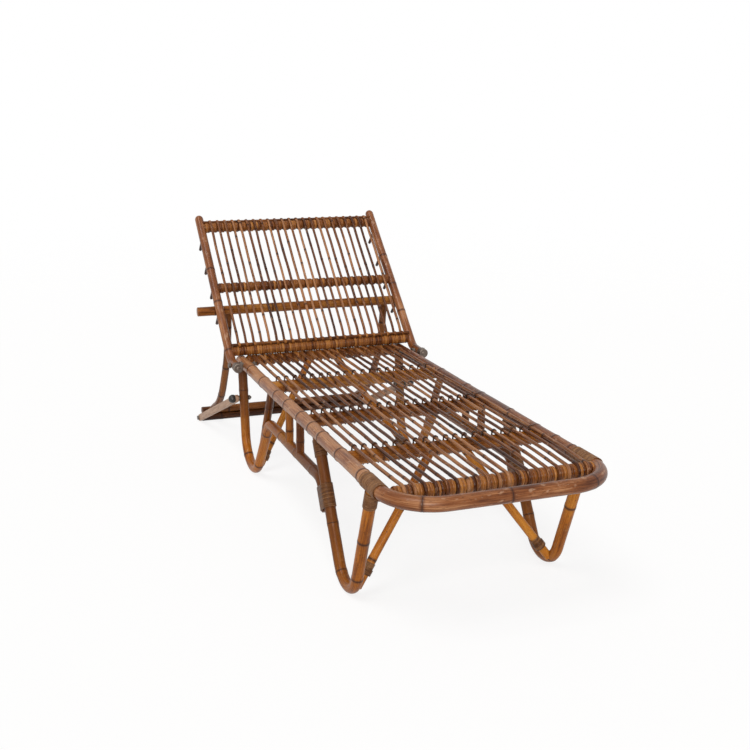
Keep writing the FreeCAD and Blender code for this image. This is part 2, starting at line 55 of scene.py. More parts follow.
# Play between two pieces that touch.
GAP = 0.2
ACROSS = np.array((1.0, 0.0, 0.0))
ALONG = np.array((0.0, 1.0, 0.0))
UP = np.array((0.0, 0.0, 1.0))

# Rings of the mesh about a knot, widths of its swelling and of its dark scar, and depth of the
# scar's groove as a share of the radius.
KNOT_MARKS = np.array((-15, -10, -7, -4.5, -2.6, -1.5, -0.8, 0, 0.8, 1.5, 2.6, 4.5, 7, 10, 15)) * MM
SWELL_WIDTH = 6.0
SCAR_WIDTH = 1.2
SCAR_DEPTH = 0.025
# Where the first knot may come and how far on the next one, as shares of their mean distance, and
# the length without knots at a pole's end.
FIRST_KNOT = (0.2, 0.8)
NEXT_KNOT = (0.7, 1.3)
KNOT_CLEAR = 12.0
# Rings in a rounded end and in a dome, and how much of the rounding is made, so that no end
# closes to a point.
EDGE_RINGS = 3
DOME_RINGS = 7
EDGE_SHARE = 0.98
# Darkening is full over a fifth of a darkened end and gone this many lengths from it; on slats'
# ends it is painted shade.
DARK_END_FADE = 1.2
# Length over which a strand leaves the place where it is held.
SLACK_LENGTH = 90.0
# Distance between the points of a bend and their least number, and points in one turn of cane.
BEND_STEP = 2.5
BEND_POINTS = 5
TURN_POINTS = 26
# How far the grain, in metres, and the sway of the first and the last tone are shifted, so that no
# two strands look alike.
GRAIN_SHIFT = 7.31
SWAY_SHIFT = 61.0
# Noise stays within about a quarter of its middle, and is widened by this to fill the sway.
SWAY_GAIN = 4.0
# A flat cane's profile: an octagon that is about one unit wide across its flats.
STRIP_SIDES = 8
STRIP_RADIUS = 0.54
# Share of its width by which a single turn of cane climbs.
TURN_CLIMB = 0.16
TURNED_SIDES = 36
# Edges that stay sharp on canes and on turned or sawn pieces, in degrees.
CANE_SHARP = 55
SOLID_SHARP = 38


class Side(Enum):
    """Sides of the chaise, seen from its foot end."""

    LEFT = -1
    RIGHT = 1

    @property
    def word(self) -> str:
        """Side as it stands in the names of the frame's nodes."""
        return self.name.lower()


class Place(Enum):
    """Places along the seat, as they stand in the names of the frame's nodes."""

    FRONT = "front"
    MIDDLE = "middle"
    REAR = "rear"


class Bar(Enum):
    """Bars of the back, as they stand in the names of the frame's nodes."""

    TOP = "top"
    MIDDLE = "middle"
    LOWER = "lower"


class Blend(Enum):
    """How a layer of colour sets in."""

    EVEN = "LINEAR"
    SOFT = "SMOOTHSTEP"


class Body(Enum):
    """Bodies of the frame that pieces ride on."""

    SEAT = "seat_frame"
    BACK = "backrest"
    LINKS = "links"
    PROP = "prop"


class Slot(Enum):
    """Material slots of the record that pieces of the scene use."""

    POLE = "rattan_pole"
    SLATS = "cane_slats"
    WOUND = "wound_cane"
    BINDING = "binding_cane"
    PEG = "peg_wood"
    LINK = "link_wood"
    CAP = "cap_steel"


def at(x: float, station: float, height: float) -> np.ndarray:
    """Point of the frame, in metres, from millimetres across, along and up."""
    return np.array((x + SLIDE, station - MIDDLE, height)) * MM


def unit(way: np.ndarray) -> np.ndarray:
    """Direction of length one."""
    return way / np.linalg.norm(way)


def linear(hexa: str) -> tuple[float, float, float, float]:
    """Turns an sRGB hex colour into linear light.

    Args:
        hexa: Colour as "#rrggbb".

    Returns:
        Red, green, blue and an alpha of one.
    """
    values = [int(hexa[place:place + 2], 16) / 255 for place in (1, 3, 5)]
    light = [v / 12.92 if v <= 0.04045 else ((v + 0.055) / 1.055) ** 2.4 for v in values]
    return (*light, 1.0)


def plug(tree: bpy.types.NodeTree, node: bpy.types.Node, inputs: dict) -> None:
    """Links or sets inputs of a node.

    Args:
        tree: Node tree that holds the node.
        node: The node.
        inputs: Values, sockets or nodes for its inputs, by the input's name or place.
    """
    for name, value in inputs.items():
        source = value.outputs[0] if isinstance(value, bpy.types.Node) else value
        if isinstance(source, bpy.types.NodeSocket):
            tree.links.new(source, node.inputs[name])
        else:
            node.inputs[name].default_value = source


def add(tree: bpy.types.NodeTree, kind: str, inputs: dict | None = None,
        **settings: object) -> bpy.types.Node:
    """Adds one node with its settings and links.

    Args:
        tree: Node tree that gets the node.
        kind: Blender's name for the node.
        inputs: Values, sockets or nodes for its inputs, by the input's name or place.
        settings: Properties of the node.

    Returns:
        The new node.
    """
    node = tree.nodes.new(kind)
    for name, value in settings.items():
        setattr(node, name, value)
    plug(tree, node, inputs or {})
    return node


# ---------------------------------------------------------------------------------------- finishes


class Finish:
    """One procedural material, made the first time that a piece asks for it."""

    name: str

    def material(self) -> bpy.types.Material:
        """Makes the finish's material, or finds it where it is made already.

        Returns:
            The material.
        """
        made = bpy.data.materials.get(self.name)
        if made is None:
            made = bpy.data.materials.new(self.name)
            made.use_nodes = True
            tree = made.node_tree
            plug(tree, tree.nodes["Principled BSDF"], self.surface(tree))
        return made

    def surface(self, tree: bpy.types.NodeTree) -> dict[str, object]:
        """Builds the finish's patterns, which are the shader's inputs by name."""
        raise NotImplementedError

    def layered(self, tree: bpy.types.NodeTree, colour: object, layers: list[tuple],
                blend: Blend = Blend.EVEN) -> bpy.types.NodeSocket:
        """Lays colours over a ground, each where its pattern is strong.

        Args:
            tree: Node tree of the material.
            colour: Colour of the ground.
            layers: Pattern, its values where the layer sets in and is full, share and hex colour.
            blend: How a layer sets in.

        Returns:
            Colour with all layers on it.
        """
        for pattern, low, high, share, over in layers:
            ends = {"Value": pattern, 1: low, 2: high, 3: 0.0, 4: share}
            amount = add(tree, "ShaderNodeMapRange", ends, interpolation_type=blend.value)
            inputs = {0: amount, 6: colour, 7: linear(over)}
            colour = add(tree, "ShaderNodeMix", inputs, data_type="RGBA").outputs[2]
        return colour


@dataclass(frozen=True)
class StainedRattan(Finish):
    """Rattan with its skin on, stained and lacquered by hand.

    The eye sees fine streaks along the pole, slow changes of tone where the stain took unevenly,
    small dark flecks, a dark scar at each knot and rubbed, paler spots under a satin lacquer.
    Real fibres are under half a millimetre wide; streaks and flecks are drawn coarser, to show.

    Attributes:
        name: Name of the material.
        deep: Colour where most stain was taken.
        body: Colour of most of the surface.
        bright: Colour where least stain was taken.
        scar: Colour of flecks and scars.
        rubbed: Colour of rubbed spots.
        streak_width: Width of a streak, in millimetres; its length and the next sizes likewise.
        streak_share: Share of the tone that streaks make; the rest is uneven stain.
        rub_stretch: Length of a rubbed spot, as a multiple of its width.
        difference: How far strands of one piece differ in tone.
        roughness: Roughness where least and most stain was taken.
        coat: Weight of the lacquer.
        sheen: Shine of the wood below it.
        darkening: Colour of knots and of darkened ends, which on slats is painted shade; the deep
            colour where it is empty.
        darkening_share: Share of that colour in a knot or darkened end.
        relief: Height of the streaks, in millimetres.
    """

    name: str
    deep: str
    body: str
    bright: str
    scar: str
    rubbed: str
    streak_width: float = 2.0
    streak_length: float = 85.0
    streak_share: float = 0.45
    blotch_width: float = 26.0
    blotch_length: float = 130.0
    fleck_width: float = 1.5
    fleck_length: float = 8.0
    fleck_share: float = 0.8
    fleck_depth: float = 0.4
    rub_size: float = 9.0
    rub_stretch: float = 2.5
    rub_share: float = 0.5
    scar_share: float = 0.9
    difference: float = 0.2
    roughness: tuple[float, float] = (0.3, 0.5)
    coat: float = 0.08
    coat_roughness: float = 0.22
    sheen: float = 0.15
    darkening: str = ""
    darkening_share: float = 0.75
    relief: float = 0.5

    def surface(self, tree: bpy.types.NodeTree) -> dict[str, object]:
        """Builds streaks, stain, flecks, scars and rubbed spots along the strand's own grain.

        Args:
            tree: Node tree of the material.

        Returns:
            Inputs of the shader by name.
        """
        grain = add(tree, "ShaderNodeAttribute", attribute_name="grain").outputs["Vector"]
        clouds = []
        for across, along, detail in (
            (self.streak_width, self.streak_length, 5.0),
            (self.blotch_width, self.blotch_length, 3.0),
            (self.fleck_width, self.fleck_length, 2.0),
            (self.rub_size, self.rub_stretch * self.rub_size, 4.0),
        ):
            scale = (1 / (across * MM), 1 / (across * MM), 1 / (along * MM))
            place = add(tree, "ShaderNodeMapping", {"Vector": grain, "Scale": scale})
            inputs = {"Vector": place, "Scale": 1.0, "Detail": detail}
            clouds.append(add(tree, "ShaderNodeTexNoise", inputs))
        streak, stain, fleck, rub = clouds
        strand, knot, scar = (
            add(tree, "ShaderNodeAttribute", attribute_name=name).outputs["Fac"]
            for name in ("strand", "knot", "scar")
        )
        shares = (1 - self.streak_share, self.streak_share, self.difference)
        tone = -0.5 * self.difference
        for value, share in zip((stain, streak, strand), shares):
            inputs = {0: value, 1: share, 2: tone}
            tone = add(tree, "ShaderNodeMath", inputs, operation="MULTIPLY_ADD")
        colour = self.layered(tree, linear(self.deep), [
            (tone, 0.34, 0.5, 1.0, self.body),
            (tone, 0.48, 0.66, 1.0, self.bright),
            (rub, 0.6, 0.72, self.rub_share, self.rubbed),
            (fleck, 0.58, 0.74, self.fleck_share, self.scar),
            # Knots and darkened ends share this layer; on slats the darkened ends are painted
            # shade.
            (knot, 0.2, 1.0, self.darkening_share, self.darkening or self.deep),
            (scar, 0.3, 0.9, self.scar_share, self.scar),
        ], Blend.SOFT)
        ends = {"Value": stain, 1: 0.3, 2: 0.7, 3: self.roughness[0], 4: self.roughness[1]}
        inputs = {0: fleck, 1: -self.fleck_depth, 2: streak}
        height = add(tree, "ShaderNodeMath", inputs, operation="MULTIPLY_ADD")
        inputs = {"Strength": 0.35, "Distance": self.relief * MM, "Height": height}
        return {
            "Base Color": colour,
            "Roughness": add(tree, "ShaderNodeMapRange", ends),
            "Normal": add(tree, "ShaderNodeBump", inputs),
            "Specular IOR Level": self.sheen,
            "Coat Weight": self.coat,
            "Coat Roughness": self.coat_roughness,
        }


@dataclass(frozen=True)
class WornMetal(Finish):
    """Plain steel that has dulled: grey, softly mottled, with brown rust in its pits.

    Attributes:
        name: Name of the material.
        steel: Colour of its clean spots.
        dull: Colour of its dull spots.
        rust: Colour of the rust.
        mottle: Size of a spot, in millimetres.
        pit: Size of a pit; real ones are finer and wouldn't show.
        roughness: Roughness of dull and clean spots.
        metallic: Share of bare metal; the rest is dirt.
        relief: Depth of the pits, in millimetres.
    """

    name: str
    steel: str
    dull: str
    rust: str
    mottle: float = 5.0
    pit: float = 5.0 / 3.0
    roughness: tuple[float, float] = (0.32, 0.6)
    metallic: float = 0.85
    relief: float = 0.3

    def surface(self, tree: bpy.types.NodeTree) -> dict[str, object]:
        """Builds the mottled grey and the rust on the piece's own coordinates.

        Args:
            tree: Node tree of the material.

        Returns:
            Inputs of the shader by name.
        """
        place = add(tree, "ShaderNodeTexCoord").outputs["Object"]
        clouds = []
        for size, detail in ((self.mottle, 5.0), (self.pit, 4.0)):
            inputs = {"Vector": place, "Scale": 1 / (size * MM), "Detail": detail}
            clouds.append(add(tree, "ShaderNodeTexNoise", inputs))
        mottle, pits = clouds
        colour = self.layered(tree, linear(self.dull), [
            (mottle, 0.0, 1.0, 1.0, self.steel),
            (pits, 0.56, 0.7, 0.8, self.rust),
        ])
        ends = {"Value": mottle, 3: self.roughness[0], 4: self.roughness[1]}
        inputs = {"Strength": 0.25, "Distance": self.relief * MM, "Height": pits}
        return {
            "Base Color": colour,
            "Roughness": add(tree, "ShaderNodeMapRange", ends),
            "Normal": add(tree, "ShaderNodeBump", inputs),
            "Metallic": self.metallic,
        }


@dataclass(frozen=True)
class TurnedEbonite(Finish):
    """Hard black rubber, turned and handled: near black, satin, with faint pale scratches.

    Attributes:
        name: Name of the material.
        black: Colour of the rubber.
        worn: Colour of the scratches.
        scratch: Size of a scratched spot, in millimetres; single scratches wouldn't show.
        roughness: Roughness of sound and scratched spots.
        relief: Depth of the scratches, in millimetres.
    """

    name: str
    black: str
    worn: str
    scratch: float = 1.6
    roughness: tuple[float, float] = (0.3, 0.55)
    relief: float = 0.2

    def surface(self, tree: bpy.types.NodeTree) -> dict[str, object]:
        """Builds the worn black on the piece's own coordinates.

        Args:
            tree: Node tree of the material.

        Returns:
            Inputs of the shader by name.
        """
        place = add(tree, "ShaderNodeTexCoord").outputs["Object"]
        inputs = {"Vector": place, "Scale": 1 / (self.scratch * MM), "Detail": 6.0}
        wear = add(tree, "ShaderNodeTexNoise", inputs)
        colour = self.layered(tree, linear(self.black), [(wear, 0.5, 0.75, 0.7, self.worn)])
        ends = {"Value": wear, 3: self.roughness[0], 4: self.roughness[1]}
        inputs = {"Strength": 0.2, "Distance": self.relief * MM, "Height": wear}
        return {
            "Base Color": colour,
            "Roughness": add(tree, "ShaderNodeMapRange", ends),
            "Normal": add(tree, "ShaderNodeBump", inputs),
        }


@dataclass(frozen=True)
class BareBeech(Finish):
    """Planed beech that has lost most of its stain: pale, greyish, with short dark pores along it.

    Attributes:
        name: Name of the material.
        pale: Colour of the bare wood.
        stain: Colour where stain is left.
        pore: Colour of the pores.
        tilt: Slope of the bar about the X axis, in radians.
        ring_width: Width of a growth ring, in millimetres.
        pore_width: Width of a pore; real ones are a tenth of that and wouldn't show.
        run: Length of a stained spot.
        roughness: Roughness of bare and stained spots.
        relief: Height of the rings.
    """

    name: str
    pale: str
    stain: str
    pore: str
    tilt: float
    ring_width: float = 4.0
    pore_width: float = 0.9
    run: float = 45.0
    roughness: tuple[float, float] = (0.65, 0.45)
    relief: float = 0.4

    def surface(self, tree: bpy.types.NodeTree) -> dict[str, object]:
        """Builds the grain along the bar.

        Args:
            tree: Node tree of the material.

        Returns:
            Inputs of the shader by name.
        """
        place = add(tree, "ShaderNodeTexCoord").outputs["Object"]
        inputs = {"Vector": place, "Rotation": (self.tilt, 0.0, 0.0)}
        sloped = add(tree, "ShaderNodeMapping", inputs)
        clouds = []
        for across, along in (
            (self.ring_width, 3 * self.run),
            (5 * self.ring_width, self.run),
            (self.pore_width, self.run / 4),
        ):
            scale = (1 / (across * MM), 1 / (along * MM), 1 / (across * MM))
            spot = add(tree, "ShaderNodeMapping", {"Vector": sloped, "Scale": scale})
            inputs = {"Vector": spot, "Scale": 1.0, "Detail": 4.0}
            clouds.append(add(tree, "ShaderNodeTexNoise", inputs))
        rings, stain, pores = clouds
        colour = self.layered(tree, linear(self.pale), [
            (rings, 0.35, 0.65, 0.55, self.stain),
            (stain, 0.52, 0.7, 0.75, self.stain),
            (pores, 0.6, 0.72, 0.8, self.pore),
        ])
        ends = {"Value": stain, 3: self.roughness[0], 4: self.roughness[1]}
        inputs = {"Strength": 0.3, "Distance": self.relief * MM, "Height": rings}
        return {
            "Base Color": colour,
            "Roughness": add(tree, "ShaderNodeMapRange", ends),
            "Normal": add(tree, "ShaderNodeBump", inputs),
        }


# Legs and braces: thin honey stain that the pale skin glows through; near black at knots and
# darkened ends.
AMBER = StainedRattan(
    "rattan_amber_stain", "#7a400d", "#a86016", "#c27e2e", "#2b1206", "#c48f50", rub_share=0.3,
    darkening="#3a1c0e",
)
# Poles below the seat, posts, struts and the prop's bar: a browner stain that leaves a dull glow.
UMBER = StainedRattan(
    "rattan_umber_stain", "#4f2606", "#8a4f18", "#ad7333", "#260f05", "#b5875a", rub_share=0.3,
)
# Rails, hoop and the back's poles: red-brown under the thickest lacquer, with the clearest shine.
BROWN = StainedRattan(
    "rattan_brown_stain", "#4b2108", "#814a25", "#b27d54", "#220e06", "#c09a7c", coat=0.22,
)
# Bars of the back and poles of the prop: so much stain that only the brightest streaks show.
DARK = StainedRattan("rattan_dark_stain", "#2c1203", "#5a300f", "#865125", "#180a04", "#9b7048")
# Slats: round cane without its skin, dark in the pores and pale where it was rubbed.
CANE = StainedRattan(
    "peeled_cane_stained", "#331504", "#693a1a", "#a6724a", "#1b0b04", "#c29a7b", difference=0.24,
    streak_width=1.6, blotch_width=9.0, blotch_length=160.0, fleck_length=14.0, rub_size=6.0,
)
# Split cane has a finer and shorter grain than a pole.
SPLIT_GRAIN = {
    "streak_width": 1.3, "blotch_width": 9.0, "blotch_length": 60.0, "fleck_width": 1.2,
    "rub_size": 5.0,
}
# Turns on the bars: split cane, its skin outward, each turn of a tone of its own.
WOUND = StainedRattan(
    "flat_cane_wound", "#431d05", "#7e471a", "#b07439", "#1d0c04", "#bf9164", difference=0.24,
    **SPLIT_GRAIN,
)
# Bindings of the joints: split cane that is duller and greyer from handling.
BINDING = StainedRattan(
    "flat_cane_binding", "#361a09", "#694223", "#926842", "#1b0c05", "#a98461", **SPLIT_GRAIN,
)
# Ties of the slats: split cane dark with stain, drawn nearly black as painted shade at the rails'
# rear edges.
TIE_STAIN_AND_SHADE = StainedRattan(
    "flat_cane_tie", "#1f1008", "#3c2213", "#5e3a21", "#140a05", "#7a573d", **SPLIT_GRAIN,
)
# Pegs: hardwood dowels, dark and dull.
PEG = StainedRattan(
    "hardwood_peg_stained", "#1f100a", "#3f2415", "#5f3a20", "#140a06", "#6d4d38", coat=0.1,
)
# Caps on the poles' ends: turned steel gone brown, with little shine left.
CAP_STEEL = WornMetal("steel_cap_dulled", "#877a70", "#54483f", "#3f281b")
# Bolts, washers, nuts and pins: plain steel, dull grey with rust in its pits.
BOLT_STEEL = WornMetal("steel_bolt_dulled", "#7f756c", "#4b433d", "#4b2f20")
# Knobs: hard rubber, near black with a soft shine.
EBONITE = TurnedEbonite("ebonite_knob", "#130f0d", "#4a3d35")


# ------------------------------------------------------------------------------------- shape tools


def rounded(points: list[np.ndarray], bends: list[float]) -> np.ndarray:
    """Line through points with its inner corners rounded.

    Args:
        points: Ends and corners, in metres.
        bends: Bend radius at each inner corner, in millimetres.

    Returns:
        Points along the line, close together in the bends.
    """
    runs = [points[0][None]]
    for before, corner, after, bend in zip(points, points[1:], points[2:], bends):
        toward = unit(before - corner)
        away = unit(after - corner)
        half = math.acos(float(toward @ away)) / 2
        radius = bend * MM
        centre = corner + unit(toward + away) * (radius / math.sin(half))
        first = corner + toward * (radius / math.tan(half)) - centre
        last = corner + away * (radius / math.tan(half)) - centre
        turn = math.pi - 2 * half
        share = np.linspace(0, 1, max(BEND_POINTS, int(turn * bend / BEND_STEP)))[:, None]
        arc = (np.sin((1 - share) * turn) * first + np.sin(share * turn) * last) / math.sin(turn)
        runs.append(centre + arc)
    runs.append(points[-1][None])
    return np.vstack(runs)


def spread(count: int, pitch: float) -> list[float]:
    """Evenly spaced places about the middle."""
    return [(index - (count - 1) / 2) * pitch for index in range(count)]


def crosswise(half: float, station: float, height: float) -> np.ndarray:
    """Level line across the chaise, half to each side of its middle."""
    return np.array([at(sign * half, station, height) for sign in (-1, 1)])


def knots_along(length: float, pitch: float, seed: int) -> list[float]:
    """Places of the knots on a pole, unevenly spaced as they grew.

    Args:
        length: Length of the pole, in millimetres.
        pitch: Mean distance between knots.
        seed: Seed of this pole's spacing.

    Returns:
        Distances from the pole's start, in millimetres.
    """
    chance = np.random.default_rng(seed)
    places = []
    place = pitch * chance.uniform(*FIRST_KNOT)
    while place < length - KNOT_CLEAR:
        places.append(place)
        place += pitch * chance.uniform(*NEXT_KNOT)
    return places


def line_length(line: np.ndarray) -> np.ndarray:
    """Distance from the start at each point of a line."""
    return np.concatenate(([0.0], np.cumsum(np.linalg.norm(np.diff(line, axis=0), axis=1))))


@dataclass
class Strand:
    """One pole or cane: its line, its thickness, its knots and where it is held.

    Attributes:
        line: Points of its middle line, in metres.
        radius: Radius, in millimetres.
        knots: Distances of its knots from its start, in millimetres.
        held: Distances at which it can't sway, in millimetres; without any it sways all along.
        rise: How far a knot stands out, as a share of the radius.
        ring: Distance of a knot's dark scar from its middle, in millimetres; above 0 it has two.
        edge: Rounding of its cut ends, in millimetres.
        dome: Whether its first end is a full dome.
        soaked: Lengths at its two ends that are drawn darker, in millimetres; on slats this is
            painted shade.
        step: Distance between two rings of its mesh, in millimetres.
    """

    line: np.ndarray
    radius: float
    knots: list[float] | tuple[float, ...] = ()
    held: list[float] = field(default_factory=list)
    rise: float = 0.055
    ring: float = 0.0
    edge: float = 1.4
    dome: bool = False
    soaked: tuple[float, float] = (0.0, 0.0)
    step: float = 8.0

    def sample(self) -> dict[str, np.ndarray]:
        """Measures the strand at rings that are close together at knots and ends.

        Returns:
            Places of the rings, and along, girth, knot, scar and slack at each of them.
        """
        lengths = line_length(self.line)
        total = lengths[-1]
        radius = self.radius * MM
        end_edge = self.edge * MM
        start_edge = radius if self.dome else end_edge
        start_curve, end_curve = (
            1 - np.cos(np.linspace(0, math.pi / 2, rings))
            for rings in (DOME_RINGS if self.dome else EDGE_RINGS, EDGE_RINGS)
        )
        marks = [np.linspace(0, total, int(total / (self.step * MM)) + 2)]
        marks += [start_curve * start_edge, total - end_curve * end_edge]
        marks += [knot * MM + KNOT_MARKS for knot in self.knots]
        along = np.unique(np.round(np.clip(np.concatenate(marks), 0, total), 5))
        places = np.column_stack([np.interp(along, lengths, row) for row in self.line.T])
        away = np.full(along.shape, total)
        for knot in self.knots:
            away = np.minimum(away, np.abs(along - knot * MM))
        swell = np.exp(-((away / (SWELL_WIDTH * MM)) ** 2))
        scar = np.exp(-(((away - self.ring * MM) / (SCAR_WIDTH * MM)) ** 2))
        girth = radius * (1 + self.rise * swell) - SCAR_DEPTH * radius * scar
        for distance, edge in ((along, start_edge), (total - along, end_edge)):
            inside = np.clip(1 - distance / edge, 0, 1)
            girth -= edge * (1 - np.sqrt(1 - inside ** 2)) * EDGE_SHARE
        # Darkened ends join the knots' measure; on slats this is painted shade where they bend
        # round bars.
        for distance, length in zip((along, total - along), self.soaked):
            if length:
                stained = np.clip(DARK_END_FADE - distance / (length * MM), 0, 1)
                swell = np.maximum(swell, stained)
        slack = np.ones_like(along)
        for place in self.held:
            free = np.clip(np.abs(along - place * MM) / (SLACK_LENGTH * MM), 0, 1)
            slack = np.minimum(slack, free)
        measures = {"along": along, "girth": girth, "knot": swell, "scar": scar, "slack": slack}
        return {"place": places, **measures}


def knotted(line: np.ndarray, radius: float, pitch: float, seed: int, **more: object) -> Strand:
    """Pole with knots along its whole line.

    Args:
        line: Points of its middle line, in metres.
        radius: Radius, in millimetres.
        pitch: Mean distance between its knots.
        seed: Seed of their spacing.
        more: Other values of the strand.

    Returns:
        The pole.
    """
    return Strand(line, radius, knots_along(line_length(line)[-1] / MM, pitch, seed), **more)


@dataclass
class Winding:
    """Flat cane wound round one pole, round two side by side, or over a slat and its rail.

    Attributes:
        line: Points of its middle line, in metres.
        outward: Direction away from the wood at each point.
    """

    line: np.ndarray
    outward: np.ndarray

    def sample(self) -> dict[str, np.ndarray]:
        """Returns the points, their distances and their outward directions."""
        return {"place": self.line, "along": line_length(self.line), "outward": self.outward}


def wound(base: np.ndarray, way: np.ndarray, across: np.ndarray, apart: float, reach: float,
          turns: float, pitch: float) -> Winding:
    """Cane wound up round one pole, or round two side by side.

    Args:
        base: Middle of the poles where the winding starts, in metres.
        way: Direction in which it climbs.
        across: Direction from one pole to the other.
        apart: Distance between the poles' axes, in millimetres; 0 for one pole.
        reach: Distance from a pole's axis to the cane's middle, in millimetres.
        turns: Number of turns.
        pitch: Climb of one turn, in millimetres.

    Returns:
        The winding.
    """
    square = np.cross(way, across)
    half = math.pi * reach
    whole = 2 * half + 2 * apart
    run = np.linspace(0, turns * whole, int(turns * (TURN_POINTS + apart)) + 1)
    line = []
    outward = []
    for passed in run:
        local = passed % whole
        lobe = 1 if local < half + apart else -1
        local -= 0 if lobe > 0 else half + apart
        if local < half:
            angle = local / reach - math.pi / 2
            spoke = (across * math.cos(angle) + square * math.sin(angle)) * lobe
            shift = across * (lobe * apart / 2)
        else:
            spoke = square * lobe
            shift = across * (lobe * (apart / 2 - (local - half)))
        line.append(base + (shift + spoke * reach + way * (pitch * passed / whole)) * MM)
        outward.append(spoke)
    return Winding(np.array(line), np.array(outward))


def single_turn(middle: np.ndarray, across: np.ndarray, reach: float, width: float) -> Winding:
    """One turn of cane on a bar that lies across the chaise.

    Args:
        middle: Middle of the turn on the bar's axis, in metres.
        across: Direction square to the bar, a quarter of a turn from the seam.
        reach: Distance from the axis to the cane's middle, in millimetres.
        width: Width that the turn takes up, in millimetres.

    Returns:
        The turn.
    """
    climb = TURN_CLIMB * width
    return wound(middle - ACROSS * (climb / 2 * MM), ACROSS, across, 0.0, reach, 1, climb)


def host(name: str, strands: list[Strand] | list[Winding], seed: int) -> bpy.types.Object:
    """Lays out strands as lines of edges that carry their measures.

    Args:
        name: Name of the piece.
        strands: Poles, canes or windings.
        seed: Seed of their differences in tone.

    Returns:
        Object with one chain of edges for each strand.
    """
    chance = np.random.default_rng(seed)
    samples = [strand.sample() for strand in strands]
    measures = {key: np.concatenate([sample[key] for sample in samples]) for key in samples[0]}
    tones = [np.full(len(sample["along"]), chance.random()) for sample in samples]
    measures["strand"] = np.concatenate(tones)
    edges = []
    first = 0
    for sample in samples:
        count = len(sample["along"])
        edges += [(first + index, first + index + 1) for index in range(count - 1)]
        first += count
    mesh = bpy.data.meshes.new(name)
    mesh.from_pydata(measures.pop("place").tolist(), edges, [])
    for key, values in measures.items():
        kind, label = ("FLOAT", "value") if values.ndim == 1 else ("FLOAT_VECTOR", "vector")
        mesh.attributes.new(key, kind, "POINT").data.foreach_set(label, values.ravel())
    piece = bpy.data.objects.new(name, mesh)
    bpy.context.scene.collection.objects.link(piece)
    return piece


class FormTree:
    """Geometry Nodes tree that gives laid-out strands their solid form."""

    name: str
    sizes: dict[str, tuple[str, float]]

    def __init__(self) -> None:
        """Builds the tree with its named inputs."""
        self.tree = bpy.data.node_groups.new(self.name, "GeometryNodeTree")
        face = self.tree.interface
        face.new_socket("Lines", in_out="INPUT", socket_type="NodeSocketGeometry")
        for label, (kind, value) in self.sizes.items():
            face.new_socket(label, in_out="INPUT", socket_type=kind).default_value = value
        face.new_socket("Material", in_out="INPUT", socket_type="NodeSocketMaterial")
        face.new_socket("Form", in_out="OUTPUT", socket_type="NodeSocketGeometry")
        self.given = add(self.tree, "NodeGroupInput")
        smooth = add(self.tree, "GeometryNodeSetShadeSmooth", {0: self.form()})
        real = add(self.tree, "GeometryNodeRealizeInstances", {0: smooth})
        inputs = {0: real, "Material": self.given.outputs["Material"]}
        add(self.tree, "NodeGroupOutput", {0: add(self.tree, "GeometryNodeSetMaterial", inputs)})

    def form(self) -> bpy.types.Node:
        """Builds the nodes that shape the strands; the last one holds the solid."""
        raise NotImplementedError

    def swept(self, curve: bpy.types.Node, profile: bpy.types.Node, scale: object,
              girth: object) -> bpy.types.Node:
        """Sweeps a profile along the strands and stores their grain for the finish.

        Args:
            curve: Node that holds the strands.
            profile: Node that holds the profile.
            scale: Size of the profile along the strand.
            girth: Radius that sets the grain's scale round the strand.

        Returns:
            Node that holds the closed solids.
        """
        tree = self.tree
        factor = add(tree, "GeometryNodeSplineParameter").outputs["Factor"]
        turn = add(tree, "ShaderNodeMath", {0: factor, 1: 2 * math.pi}, operation="MULTIPLY")
        inputs = {0: profile, "Name": "around", "Value": turn}
        marked = add(tree, "GeometryNodeStoreNamedAttribute", inputs)
        inputs = {"Curve": curve, "Profile Curve": marked, "Scale": scale, "Fill Caps": True}
        solid = add(tree, "GeometryNodeCurveToMesh", inputs)
        around, strand, along = (
            add(tree, "GeometryNodeInputNamedAttribute", {"Name": name})
            for name in ("around", "strand", "along")
        )
        inputs = {0: strand, 1: GRAIN_SHIFT, 2: along}
        parts = {2: add(tree, "ShaderNodeMath", inputs, operation="MULTIPLY_ADD")}
        for axis, wave in enumerate(("COSINE", "SINE")):
            swing = add(tree, "ShaderNodeMath", {0: around}, operation=wave)
            parts[axis] = add(tree, "ShaderNodeMath", {0: swing, 1: girth}, operation="MULTIPLY")
        grain = add(tree, "ShaderNodeCombineXYZ", parts)
        inputs = {0: solid, "Name": "grain", "Value": grain}
        return add(tree, "GeometryNodeStoreNamedAttribute", inputs, data_type="FLOAT_VECTOR")


